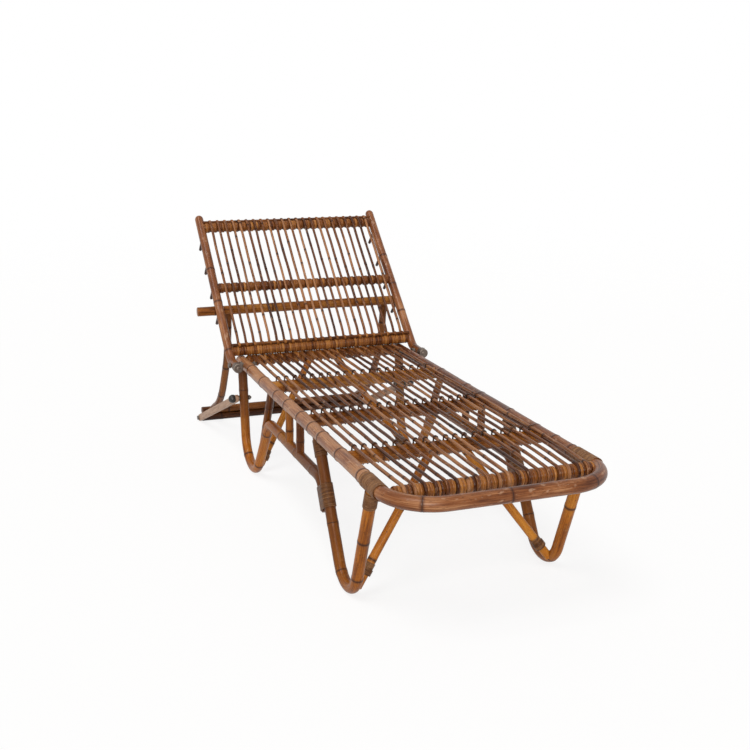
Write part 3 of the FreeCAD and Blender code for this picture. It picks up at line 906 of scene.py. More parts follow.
class PoleTree(FormTree):
    """Round poles and canes that sway a little and thicken at their knots."""

    name = "rattan_poles"
    sizes = {
        "Sides": ("NodeSocketInt", 20),
        "Sway": ("NodeSocketFloat", 0.0),
        "Sway length": ("NodeSocketFloat", 0.2),
        "Seed": ("NodeSocketFloat", 0.0),
    }

    def form(self) -> bpy.types.Node:
        """Builds the swaying line and sweeps a circle of the strand's girth along it.

        Returns:
            Node that holds the poles.
        """
        tree, given = self.tree, self.given.outputs
        strand, slack, girth = (
            add(tree, "GeometryNodeInputNamedAttribute", {"Name": name})
            for name in ("strand", "slack", "girth")
        )
        curve = add(tree, "GeometryNodeMeshToCurve", {0: given["Lines"]})
        inputs = {0: strand, 1: SWAY_SHIFT, 2: given["Seed"]}
        own = add(tree, "ShaderNodeMath", inputs, operation="MULTIPLY_ADD")
        size = add(tree, "ShaderNodeMath", {0: 1.0, 1: given["Sway length"]}, operation="DIVIDE")
        place = add(tree, "GeometryNodeInputPosition")
        inputs = {"Vector": place, "W": own, "Scale": size, "Detail": 1.0}
        cloud = add(tree, "ShaderNodeTexNoise", inputs, noise_dimensions="4D").outputs["Color"]
        inputs = {0: cloud, 1: (0.5, 0.5, 0.5)}
        centred = add(tree, "ShaderNodeVectorMath", inputs, operation="SUBTRACT")
        reach = add(tree, "ShaderNodeMath", {0: slack, 1: given["Sway"]}, operation="MULTIPLY")
        wide = add(tree, "ShaderNodeMath", {0: reach, 1: SWAY_GAIN}, operation="MULTIPLY")
        offset = add(tree, "ShaderNodeVectorMath", {0: centred, "Scale": wide}, operation="SCALE")
        swayed = add(tree, "GeometryNodeSetPosition", {0: curve, "Offset": offset})
        inputs = {"Resolution": given["Sides"], "Radius": 1.0}
        circle = add(tree, "GeometryNodeCurvePrimitiveCircle", inputs)
        return self.swept(swayed, circle, girth, girth)


class CaneTree(FormTree):
    """Flat canes wound on wood, each lying flat with its rounded skin outward."""

    name = "wound_canes"
    sizes = {
        "Width": ("NodeSocketFloat", 3.0 * MM),
        "Thickness": ("NodeSocketFloat", 1.8 * MM),
    }

    def form(self) -> bpy.types.Node:
        """Builds lines that face away from the wood and sweeps a flat, rounded strip along them.

        Returns:
            Node that holds the canes.
        """
        tree, given = self.tree, self.given.outputs
        curve = add(tree, "GeometryNodeMeshToCurve", {0: given["Lines"]})
        inputs = {"Name": "outward"}
        outward = add(tree, "GeometryNodeInputNamedAttribute", inputs, data_type="FLOAT_VECTOR")
        inputs = {"Curve": curve, "Normal": outward}
        facing = add(tree, "GeometryNodeSetCurveNormal", inputs, mode="FREE")
        inputs = {"Resolution": STRIP_SIDES, "Radius": STRIP_RADIUS}
        circle = add(tree, "GeometryNodeCurvePrimitiveCircle", inputs)
        parts = {0: given["Thickness"], 1: given["Width"], 2: 1.0}
        size = add(tree, "ShaderNodeCombineXYZ", parts)
        inputs = {0: circle, "Rotation": (0.0, 0.0, math.pi / STRIP_SIDES)}
        turned_circle = add(tree, "GeometryNodeTransform", inputs)
        strip = add(tree, "GeometryNodeTransform", {0: turned_circle, "Scale": size})
        return self.swept(facing, strip, 1.0, given["Width"])


def grown(piece: bpy.types.Object, form: FormTree, sizes: dict[str, object],
          finish: Finish) -> bpy.types.Object:
    """Turns laid-out strands into one plain mesh in their finish.

    Args:
        piece: Object with the strands' lines.
        form: Tree that gives them their form.
        sizes: Values of the tree's named inputs.
        finish: Finish of the piece.

    Returns:
        The same object with a plain, closed mesh.
    """
    modifier = piece.modifiers.new("form", "NODES")
    modifier.node_group = form.tree
    values = {**sizes, "Material": finish.material()}
    for socket in form.tree.interface.items_tree:
        if socket.in_out == "INPUT" and socket.name in values:
            modifier[socket.identifier] = values[socket.name]
    graph = bpy.context.evaluated_depsgraph_get()
    solid = piece.evaluated_get(graph)
    mesh = bpy.data.meshes.new_from_object(solid, preserve_all_data_layers=True, depsgraph=graph)
    piece.modifiers.clear()
    lines = piece.data
    piece.data = mesh
    bpy.data.meshes.remove(lines)
    mesh.name = piece.name
    if enclosed(mesh) < 0:
        mesh.flip_normals()
    mesh.set_sharp_from_angle(angle=math.radians(CANE_SHARP))
    return piece


def enclosed(mesh: bpy.types.Mesh) -> float:
    """Measures the volume inside a mesh.

    Args:
        mesh: Closed mesh.

    Returns:
        Volume in cubic metres; below zero where its faces point inward.
    """
    mesh.calc_loop_triangles()
    places = np.empty(3 * len(mesh.vertices))
    mesh.vertices.foreach_get("co", places)
    corners = np.empty(3 * len(mesh.loop_triangles), dtype=np.int32)
    mesh.loop_triangles.foreach_get("vertices", corners)
    first, second, third = np.moveaxis(places.reshape(-1, 3)[corners.reshape(-1, 3)], 1, 0)
    return float(np.einsum("ij,ij->", first, np.cross(second, third))) / 6


def on_floor(piece: bpy.types.Object) -> None:
    """Flattens a worn foot on the floor."""
    for vertex in piece.data.vertices:
        vertex.co.z = max(vertex.co.z, 0.0)


def turned(name: str, seat: np.ndarray, way: np.ndarray, outline: tuple[tuple[float, float], ...],
           finish: Finish) -> bpy.types.Object:
    """Makes a piece turned on a lathe.

    Args:
        name: Name of the piece.
        seat: Start of its axis, in metres.
        way: Direction of its axis.
        outline: Distance along the axis and radius of each ring, in millimetres; the first and the
            last ring are closed.
        finish: Finish of the piece.

    Returns:
        The piece.
    """
    first = unit(np.cross(way, UP) if abs(way @ UP) < 0.9 else np.cross(way, ACROSS))
    second = np.cross(way, first)
    shape = bmesh.new()
    rings = []
    for depth, radius in outline:
        ring = []
        for angle in np.linspace(0, 2 * math.pi, TURNED_SIDES, endpoint=False):
            spoke = first * math.cos(angle) + second * math.sin(angle)
            ring.append(shape.verts.new(seat + (way * depth + spoke * radius) * MM))
        rings.append(ring)
    for low, high in zip(rings, rings[1:]):
        for index in range(TURNED_SIDES):
            after = (index + 1) % TURNED_SIDES
            shape.faces.new((low[index], low[after], high[after], high[index]))
    shape.faces.new(rings[0])
    shape.faces.new(rings[-1])
    bmesh.ops.recalc_face_normals(shape, faces=shape.faces)
    return meshed(name, shape, finish)


def meshed(name: str, shape: bmesh.types.BMesh, finish: Finish) -> bpy.types.Object:
    """Makes an object of a finished shape, smooth but for its edges.

    Args:
        name: Name of the piece.
        shape: Shape in metres; it is used up.
        finish: Finish of the piece.

    Returns:
        The piece.
    """
    for face in shape.faces:
        face.smooth = True
    mesh = bpy.data.meshes.new(name)
    shape.to_mesh(mesh)
    shape.free()
    mesh.set_sharp_from_angle(angle=math.radians(SOLID_SHARP))
    mesh.materials.append(finish.material())
    piece = bpy.data.objects.new(name, mesh)
    bpy.context.scene.collection.objects.link(piece)
    return piece


# ------------------------------------------------------------------------------------- assemblies

POLES = PoleTree()
CANES = CaneTree()


class Assembly:
    """Sub-assembly whose pieces ride on one body of the frame."""

    body: Body

    def keep(self, piece: bpy.types.Object, slot: Slot, *nodes: str) -> None:
        """Puts a finished piece on the body in place of the nodes that it stands for.

        Args:
            piece: The piece.
            slot: Slot of the record that its finish belongs to; not used.
            nodes: Nodes of the frame that it replaces.
        """
        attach(piece, self.body.value)
        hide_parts(*nodes)
        LOG.info("%s on %s, %d faces", piece.name, self.body.value, len(piece.data.polygons))

    def pole(self, node: str, strands: list[Strand], finish: Finish, slot: Slot = Slot.POLE,
             sides: int = 22, sway: float = 0.5, sway_length: float = 260.0) -> None:
        """Makes the poles or canes of one node.

        Args:
            node: Node of the frame that they stand for.
            strands: Their lines and sizes.
            finish: Their finish.
            slot: Their slot of the record.
            sides: Sides of each pole's mesh.
            sway: How far they leave their line, in millimetres.
            sway_length: Length over which they do, in millimetres.
        """
        seed = sum(ord(letter) for letter in node)
        sizes = {
            "Sides": sides, "Sway": sway * MM, "Sway length": sway_length * MM, "Seed": float(seed),
        }
        piece = grown(host(node + "_rattan", strands, seed), POLES, sizes, finish)
        on_floor(piece)
        self.keep(piece, slot, node)

    def winding(self, node: str, windings: list[Winding], finish: Finish, slot: Slot, width: float,
                thickness: float) -> None:
        """Makes the wound canes of one node.

        Args:
            node: Node of the frame that they stand for.
            windings: Their lines.
            finish: Their finish.
            slot: Their slot of the record.
            width: Width of the cane, in millimetres.
            thickness: Thickness of the cane, in millimetres.
        """
        sizes = {"Width": width * MM, "Thickness": thickness * MM}
        piece = grown(host(node + "_cane", windings, len(node)), CANES, sizes, finish)
        self.keep(piece, slot, node)


@dataclass
class Slatting:
    """Row of canes over a set of bars, with the windings and ties that hold it.

    Attributes:
        count: Number of canes.
        pitch: Distance between them on the first bar.
        turns: Angles that a cane's ends go round the first and the last bar.
        seed: Seed of the canes' differences.
        fan: Share by which they lie wider apart beyond the first bar.
        fan_length: Length over which they spread.
        stray: How far a cane wanders to the side.
        wander: Length over which it does.
        dip: How far the first and the last ends sink into their bars.
        dip_length: Length over which they do.
        radius: Radius of a cane.
        wrap_width: Width of the flat cane wound between the slats.
        wrap_thickness: Thickness of that cane.
        tie_width: Width of the cane that ties a slat.
        tie_thickness: Thickness of that cane.
        tie_back: Distance from a rail's middle at which the first loop crosses a slat.
        tie_lift: How much further out the second loop lies.
        tie_tuck: Angle that a loop goes on round a slat, below its middle.
        tie_points: Points in each part of a loop.
        sway: How far a slat leaves its line between two bars.
        sway_length: Length over which it does.
        knot_pitch: Mean distance between a slat's knots.
        knot_rise: How far they stand out, as a share of the radius.
        uneven: Shares of the radius between which the slats differ.
        darkening: Length at a slat's ends that is darkened as painted shade, as a multiple of its
            bend's radius.
        clear: Play between a slat and the turns beside it.
        end_points: Points of a slat round an end bar.
        run_points: Points of a slat between the end bars.
    """

    count: int
    pitch: float
    turns: tuple[float, float]
    seed: int
    fan: float = 0.0
    fan_length: float = 240.0
    stray: float = 1.6
    wander: float = 110.0
    dip: tuple[float, float] = (0.0, 0.0)
    dip_length: float = 50.0
    radius: float = 4.5
    wrap_width: float = 7.6
    wrap_thickness: float = 2.4
    tie_width: float = 3.6
    tie_thickness: float = 2.2
    tie_back: float = 10.4
    tie_lift: float = 0.7
    tie_tuck: float = 0.35
    tie_points: int = 12
    sway: float = 1.6
    sway_length: float = 190.0
    knot_pitch: float = 210.0
    knot_rise: float = 0.1
    uneven: tuple[float, float] = (0.9, 1.04)
    darkening: float = 1.3
    clear: float = 0.3
    end_points: int = 20
    run_points: int = 90

    def places(self, distance: np.ndarray) -> np.ndarray:
        """Places of the slats across the chaise.

        Args:
            distance: Distances from the first bar, in millimetres.

        Returns:
            One row of places for each slat.
        """
        chance = np.random.default_rng(self.seed)
        least, most = (-1, 0.35, 0), (1, 1, 6.28)
        reach, pace, phase = chance.uniform(least, most, (self.count, 3)).T[:, :, None]
        share = np.clip(distance / self.fan_length, 0, 1)
        wider = 1 + self.fan * share * (2 - share)
        even = np.array(spread(self.count, self.pitch))[:, None] * wider
        return even + self.stray * reach * np.sin(distance / self.wander * pace + phase)

    def slats(self, start: np.ndarray, end: np.ndarray, outward: np.ndarray, bar: float,
              ties: list[float]) -> list[Strand]:
        """Lines of the slats over two end bars.

        Args:
            start: Middle of the first end bar, in metres.
            end: Middle of the second end bar, in metres.
            outward: Direction from the bars to the slats.
            bar: Radius of the end bars.
            ties: Distances from the first end bar at which the slats are tied.

        Returns:
            One strand for each slat.
        """
        chance = np.random.default_rng(self.seed)
        reach = bar + self.radius + GAP
        whole = float(np.linalg.norm(end - start)) / MM
        first = np.linspace(self.turns[0], 0, self.end_points)
        last = np.linspace(0, self.turns[1], self.end_points)
        run = np.linspace(0, whole, self.run_points)[1:-1]
        distance = np.concatenate((-reach * np.sin(first), run, whole + reach * np.sin(last)))
        level = np.full(run.shape, reach)
        height = np.concatenate((reach * np.cos(first), level, reach * np.cos(last)))
        for dip, away in zip(self.dip, (distance, whole - distance)):
            height -= dip * np.clip(1 - away / self.dip_length, 0, 1) ** 2
        line = start + (distance[:, None] * unit(end - start) + height[:, None] * outward) * MM
        curl = reach * self.turns[0]
        full = curl + whole + reach * self.turns[1]
        held = [0.0, curl, curl + whole, full] + [curl + tie for tie in ties]
        strands = []
        for place in self.places(np.clip(distance, 0, whole)):
            thick = self.radius * chance.uniform(*self.uneven)
            knots = knots_along(full, self.knot_pitch, int(chance.integers(1, 10000)))
            shifted = line + place[:, None] * ACROSS * MM
            # Both ends of each slat, where it bends round a bar, get painted shade.
            ends = (self.darkening * reach, self.darkening * reach)
            slat = Strand(shifted, thick, knots, held, self.knot_rise, edge=0.8, soaked=ends)
            strands.append(slat)
        return strands

    def wrapping(self, middle: np.ndarray, outward: np.ndarray, distance: float, bar: float,
                 half: float) -> list[Winding]:
        """Flat cane wound on a bar in each gap between the slats, its seams on the hidden side.

        Args:
            middle: Middle of the bar, in metres.
            outward: Direction from the bar to the slats.
            distance: Distance of the bar from the first bar.
            bar: Radius of the bar.
            half: Half the length that is wound.

        Returns:
            The turns of all gaps.
        """
        clear = self.radius + self.clear
        places = self.places(np.array([distance]))[:, 0]
        edges = [-half] + [edge for x in places for edge in (x - clear, x + clear)] + [half]
        reach = bar + self.wrap_thickness / 2 + GAP
        across = np.cross(outward, ACROSS)
        windings = []
        for start, end in zip(edges[0::2], edges[1::2]):
            count = max(1, round((end - start) / self.wrap_width))
            pitch = (end - start) / count
            for index in range(count):
                place = middle + ACROSS * ((start + pitch * (index + 0.5)) * MM)
                windings.append(single_turn(place, across, reach, pitch))
        return windings

    def ties(self, middle: np.ndarray, distance: float, bar: float) -> list[Winding]:
        """Two loops of cane that come up behind a cross rail, over each slat and down again.

        Args:
            middle: Middle of the rail, in metres.
            distance: Distance of the rail from the first bar.
            bar: Radius of the rail.

        Returns:
            Two windings for each slat.
        """
        beside = self.radius + self.tie_thickness / 2 + GAP
        rise = bar + GAP + self.radius
        points = self.tie_points
        over = np.linspace(math.pi + self.tie_tuck, -self.tie_tuck, points)
        windings = []
        for place in self.places(np.array([distance]))[:, 0]:
            for loop in range(2):
                reach = bar + self.tie_thickness / 2 + GAP + self.tie_lift * loop
                back = self.tie_back + self.tie_width * loop
                up = np.linspace(-math.pi / 2, math.acos(back / reach), points)
                rising = (np.full(points, -beside), reach * np.cos(up), reach * np.sin(up))
                arch = (beside * np.cos(over), np.full(points, back), rise + beside * np.sin(over))
                leg = np.column_stack(rising)
                top = np.column_stack(arch)
                turn = np.vstack((leg, top, leg[::-1] * (-1, 1, 1)))
                away = np.vstack((leg * (0, 1, 1), top - (0, back, rise), leg[::-1] * (0, 1, 1)))
                away /= np.linalg.norm(away, axis=1)[:, None]
                windings.append(Winding(middle + (turn + ACROSS * place) * MM, away))
        return windings


@dataclass
class SeatFrame(Assembly):
    """Side rails, foot hoop and cross rails of the seat."""

    half: float = 270.0
    rail_z: float = 330.0
    rail_radius: float = 17.5
    rail_end: float = 1345.0
    hoop_station: float = -5.0
    hoop_lap: float = 1.0
    hoop_knots: float = 190.0
    hoop_seed: int = 21
    corner: float = 118.0
    cross_radius: float = 17.5
    cross_z: float = 327.0
    cross_half: float = 262.0
    cross_knots: float = 150.0
    cross_rails: dict[Place, float] = field(
        default_factory=lambda: {Place.FRONT: 345.0, Place.MIDDLE: 661.0, Place.REAR: 1010.0}
    )
    end_radius: float = 14.0
    end_z: float = 330.5
    end_half: float = 256.0
    foot_rail: float = 80.0
    head_rail: float = 1330.0
    rail_knots: dict[Side, tuple[float, ...]] = field(default_factory=lambda: {
        Side.LEFT: (210.0, 363.0, 502.0, 585.0, 682.0, 805.0, 906.0, 1058.0, 1199.0),
        Side.RIGHT: (206.0, 286.0, 384.0, 529.0, 705.0, 797.0, 982.0, 1150.0),
    })
    body = Body.SEAT

    def build(self) -> None:
        """Makes the rails, the hoop and the poles across."""
        start = self.hoop_station + self.corner
        for side in Side:
            x = side.value * self.half
            line = np.array([at(x, start, self.rail_z), at(x, self.rail_end, self.rail_z)])
            knots = [station - start for station in self.rail_knots[side]]
            rail = Strand(line, self.rail_radius, knots, rise=0.075, ring=2.6)
            self.pole("side_rail_" + side.word, [rail], BROWN, sides=28, sway=1.0)
        lap = start + self.hoop_lap
        ends = ((-1, lap), (-1, self.hoop_station), (1, self.hoop_station), (1, lap))
        corners = [at(sign * self.half, station, self.rail_z) for sign, station in ends]
        line = rounded(corners, [self.corner, self.corner])
        hoop = knotted(line, self.rail_radius, self.hoop_knots, self.hoop_seed, rise=0.03)
        self.pole("foot_hoop", [hoop], BROWN, sides=28)
        for place, station in self.cross_rails.items():
            line = crosswise(self.cross_half, station, self.cross_z)
            rail = knotted(line, self.cross_radius, self.cross_knots, int(station))
            self.pole("cross_rail_" + place.value, [rail], UMBER)
        for name, station in (("foot_rail", self.foot_rail), ("head_rail", self.head_rail)):
            line = crosswise(self.end_half, station, self.end_z)
            self.pole(name, [Strand(line, self.end_radius)], UMBER)


@dataclass
class SeatCanes(Assembly):
    """Slats of the seat with their ties and the windings of the end rails."""

    seat: SeatFrame
    row: Slatting = field(default_factory=lambda: Slatting(
        19, 25.5, (math.radians(160), math.radians(115)), seed=41, fan=0.045, wrap_thickness=4.4,
        dip=(0.0, 5.0),
    ))
    wound_half: float = 250.0
    body = Body.SEAT

    def build(self) -> None:
        """Makes the slats, the ties and the windings."""
        seat, row = self.seat, self.row
        start = at(0, seat.foot_rail, seat.end_z)
        end = at(0, seat.head_rail, seat.end_z)
        tied = [station - seat.foot_rail for station in seat.cross_rails.values()]
        slats = row.slats(start, end, UP, seat.end_radius, tied)
        self.pole("seat_slats", slats, CANE, Slot.SLATS, 10, row.sway, row.sway_length)
        whole = seat.head_rail - seat.foot_rail
        for node, middle, distance in (
            ("foot_rail_wrapping", start, 0.0),
            ("head_rail_wrapping", end, whole),
        ):
            windings = row.wrapping(middle, UP, distance, seat.end_radius, self.wound_half)
            self.winding(node, windings, WOUND, Slot.WOUND, row.wrap_width, row.wrap_thickness)
        ties = []
        for station in seat.cross_rails.values():
            middle = at(0, station, seat.cross_z)
            ties += row.ties(middle, station - seat.foot_rail, seat.cross_radius)
        self.winding("seat_slat_ties", ties, TIE_STAIN_AND_SHADE, Slot.BINDING, row.tie_width, row.tie_thickness)


@dataclass
class Legs(Assembly):
    """Bent legs with their side stretchers, struts, posts and braces."""

    seat: SeatFrame
    radius: float = 14.5
    wear: float = 1.0
    front_rear_top: float = 547.0
    front_foot: float = 313.0
    front_bend: float = 72.0
    front_top: float = 146.0
    rear_top: float = 1331.0
    rear_foot: float = 1210.0
    rear_bend: float = 93.0
    elbow: tuple[float, float] = (1009.0, 218.0)
    elbow_bend: float = 55.0
    stretcher_bend: float = 45.0
    stretcher_end: float = 145.0
    brace_radius: float = 11.0
    brace_foot_z: float = 25.0
    brace_top: float = 40.0
    braces: dict[Place, tuple[float, float]] = field(
        default_factory=lambda: {Place.FRONT: (271.0, 9.0), Place.REAR: (1192.0, 20.0)}
    )
    post_radius: float = 11.0
    posts: dict[Place, float] = field(
        default_factory=lambda: {Place.FRONT: 698.0, Place.REAR: 800.0}
    )
    strut_radius: float = 11.5
    strut_top: float = 978.0
    strut_foot: tuple[float, float] = (1082.0, 132.0)
    # Lengths drawn darker from the front leg's start at its rear strut's top, and from both ends of
    # the rear leg.
    dark_strut: float = 640.0
    dark_rear: tuple[float, float] = (330.0, 760.0)
    tuck: float = 6.0
    front_knots: float = 165.0
    rear_knots: float = 175.0
    brace_knots: float = 140.0
    strut_knots: tuple[float, ...] = (70.0, 150.0)
    post_knots: tuple[float, ...] = (48.0,)
    seed: int = 300
    seed_step: int = 50
    step: float = 6.0
    body = Body.SEAT

    def touch(self, centre: tuple[float, float], bend: float, outside: tuple[float, float],
              turn: int) -> np.ndarray:
        """Where a strut meets its foot's bend, measured from the bend's centre in the side view.

        Args:
            centre: Station and height of the bend's centre.
            bend: Radius of the bend.
            outside: Station and height of the strut's other end.
            turn: Side of the bend that the strut meets, 1 or -1.

        Returns:
            Station and height from the centre.
        """
        reach = np.subtract(outside, centre)
        angle = math.atan2(reach[1], reach[0]) + turn * math.acos(bend / np.hypot(*reach))
        return bend * np.array((math.cos(angle), math.sin(angle)))

    def foot_corner(self, foot: float, bend: float, rear: tuple[float, float],
                    front: tuple[float, float]) -> np.ndarray:
        """Corner below a foot where its two struts would meet.

        Args:
            foot: Station of the foot.
            bend: Radius of the foot's bend.
            rear: Station and height of the rear strut's end.
            front: Station and height of the front strut's end.

        Returns:
            Station and height of the corner.
        """
        centre = (foot, bend + self.radius - self.wear)
        first = self.touch(centre, bend, rear, -1)
        second = self.touch(centre, bend, front, 1)
        return np.array(centre) + (first + second) * (bend ** 2 / (bend ** 2 + first @ second))

    def front_corners(self) -> list[np.ndarray]:
        """Lays out the side view of a front leg.

        Returns:
            Stations and heights of its rear strut's top, its foot and its front strut's top.
        """
        rear = (self.front_rear_top, self.seat.rail_z)
        front = (self.front_top, self.seat.rail_z)
        corner = self.foot_corner(self.front_foot, self.front_bend, rear, front)
        return [np.array(rear), corner, np.array(front)]

    def rear_corners(self) -> list[np.ndarray]:
        """Lays out the side view of a rear leg with its stretcher.

        Returns:
            Stations and heights of its top, foot, elbow, stretcher's end and end on the front leg.
        """
        top = (self.rear_top, self.seat.rail_z)
        corner = self.foot_corner(self.rear_foot, self.rear_bend, top, self.elbow)
        strut_top, strut_low = self.front_corners()[:2]
        slope = (strut_top[0] - strut_low[0]) / (strut_top[1] - strut_low[1])
        beside = (2 * self.radius + 2 * GAP) * math.hypot(1, slope)
        points = [np.array(top), corner, np.array(self.elbow)]
        for height in (self.elbow[1], self.stretcher_end):
            station = strut_low[0] + (height - strut_low[1]) * slope + beside
            points.append(np.array((station, height)))
        return points

    def side_view(self, side: Side, corners: list[np.ndarray]) -> list[np.ndarray]:
        """Side-view corners at the rail's distance from the middle."""
        return [at(side.value * self.seat.half, *corner) for corner in corners]

    def brace_ends(self, side: Side) -> dict[Place, np.ndarray]:
        """Lays out the inner braces of one side.

        Args:
            side: Side of the chaise.

        Returns:
            Foot and top of each brace, in metres, by its place.
        """
        front = self.seat.cross_rails[Place.FRONT]
        tops = {Place.FRONT: front, Place.REAR: self.seat.head_rail}
        ends = {}
        for place, (station, inside) in self.braces.items():
            foot = at(side.value * (self.seat.half - inside), station, self.brace_foot_z)
            top = at(side.value * self.brace_top, tops[place], self.seat.cross_z)
            ends[place] = np.array((foot, top))
        return ends

    def build(self) -> None:
        """Makes the legs, struts, posts and braces of both sides."""
        rear_bends = [self.rear_bend, self.elbow_bend, self.stretcher_bend]
        legs = (
            ("front_leg_", self.front_corners(), [self.front_bend], self.front_knots,
             (self.dark_strut, 0.0), 26),
            ("rear_leg_", self.rear_corners(), rear_bends, self.rear_knots, self.dark_rear, 24),
        )
        for side in Side:
            seed = self.seed + self.seed_step * side.value
            for index, (label, corners, bends, pitch, soaked, sides) in enumerate(legs):
                line = rounded(self.side_view(side, corners), bends)
                more = {"soaked": soaked, "step": self.step}
                leg = knotted(line, self.radius, pitch, seed + index, **more)
                self.pole(label + side.word, [leg], AMBER, sides=sides)
            x = side.value * self.seat.half
            line = np.array([at(x, self.strut_top, self.seat.rail_z), at(x, *self.strut_foot)])
            strut = Strand(line, self.strut_radius, self.strut_knots)
            self.pole("elbow_strut_" + side.word, [strut], UMBER)
            for place, station in self.posts.items():
                ends = (self.elbow[1] - self.tuck, self.seat.rail_z)
                line = np.array([at(x, station, height) for height in ends])
                post = Strand(line, self.post_radius, self.post_knots)
                self.pole("post_" + place.value + "_" + side.word, [post], UMBER)
            for place, line in self.brace_ends(side).items():
                brace = knotted(line, self.brace_radius, self.brace_knots, seed + len(legs))
                self.pole(place.value + "_brace_" + side.word, [brace], AMBER)


@dataclass
class Bindings(Assembly):
    """Cane bound round the stretchers' ends, the struts' tops and the braces' feet."""

    legs: Legs
    width: float = 3.1
    thickness: float = 2.2
    pitch: float = 3.2
    stretcher_turns: int = 19
    stretcher_start: float = 5.0
    collar_turns: int = 14
    collar_start: float = 17.0
    brace_turns: int = 10
    brace_clear: float = 29.7
    joint_start: float = 97.0
    joint_turns: int = 28
    joint_rise: float = 1.5
    body = Body.SEAT

    def build(self) -> None:
        """Makes the bindings of both sides; the collars' cane also binds the hoop's joints."""
        legs = self.legs
        seat = legs.seat
        stretchers = []
        collars = []
        braces = []
        reach = legs.radius + self.thickness / 2 + GAP
        apart = 2 * legs.radius + 2 * GAP
        around = seat.rail_radius + self.joint_rise
        close = legs.brace_radius + self.thickness / 2 + GAP
        layers = ((close, self.brace_turns), (close + self.thickness, self.brace_turns // 2))
        for side in Side:
            top, low, front_top = legs.side_view(side, legs.front_corners())
            corner, end = legs.side_view(side, legs.rear_corners()[3:])
            up = unit(corner - end)
            across = np.array((0.0, up[2], -up[1]))
            base = end + (up * self.stretcher_start - across * (apart / 2)) * MM
            turns = self.stretcher_turns
            stretchers.append(wound(base, up, across, apart, reach, turns, self.pitch))
            base = at(side.value * seat.half, self.joint_start, seat.rail_z)
            collars.append(wound(base, ALONG, ACROSS, 0.0, around, self.joint_turns, self.pitch))
            for strut_top in (top, front_top):
                down = unit(low - strut_top)
                base = strut_top + down * (self.collar_start * MM)
                collars.append(wound(base, down, ACROSS, 0.0, reach, self.collar_turns, self.pitch))
            for place, (foot, brace_top) in legs.brace_ends(side).items():
                up = unit(brace_top - foot)
                clear = self.brace_clear - legs.braces[place][1]
                base = foot + up * (clear * MM / abs(up[0]))
                across = unit(np.cross(up, ALONG))
                for layer, turns in layers:
                    braces.append(wound(base, up, across, 0.0, layer, turns, self.pitch))
        for node, windings in (
            ("stretcher_bindings", stretchers),
            ("strut_bindings", collars),
            ("brace_bindings", braces),
        ):
            self.winding(node, windings, BINDING, Slot.BINDING, self.width, self.thickness)


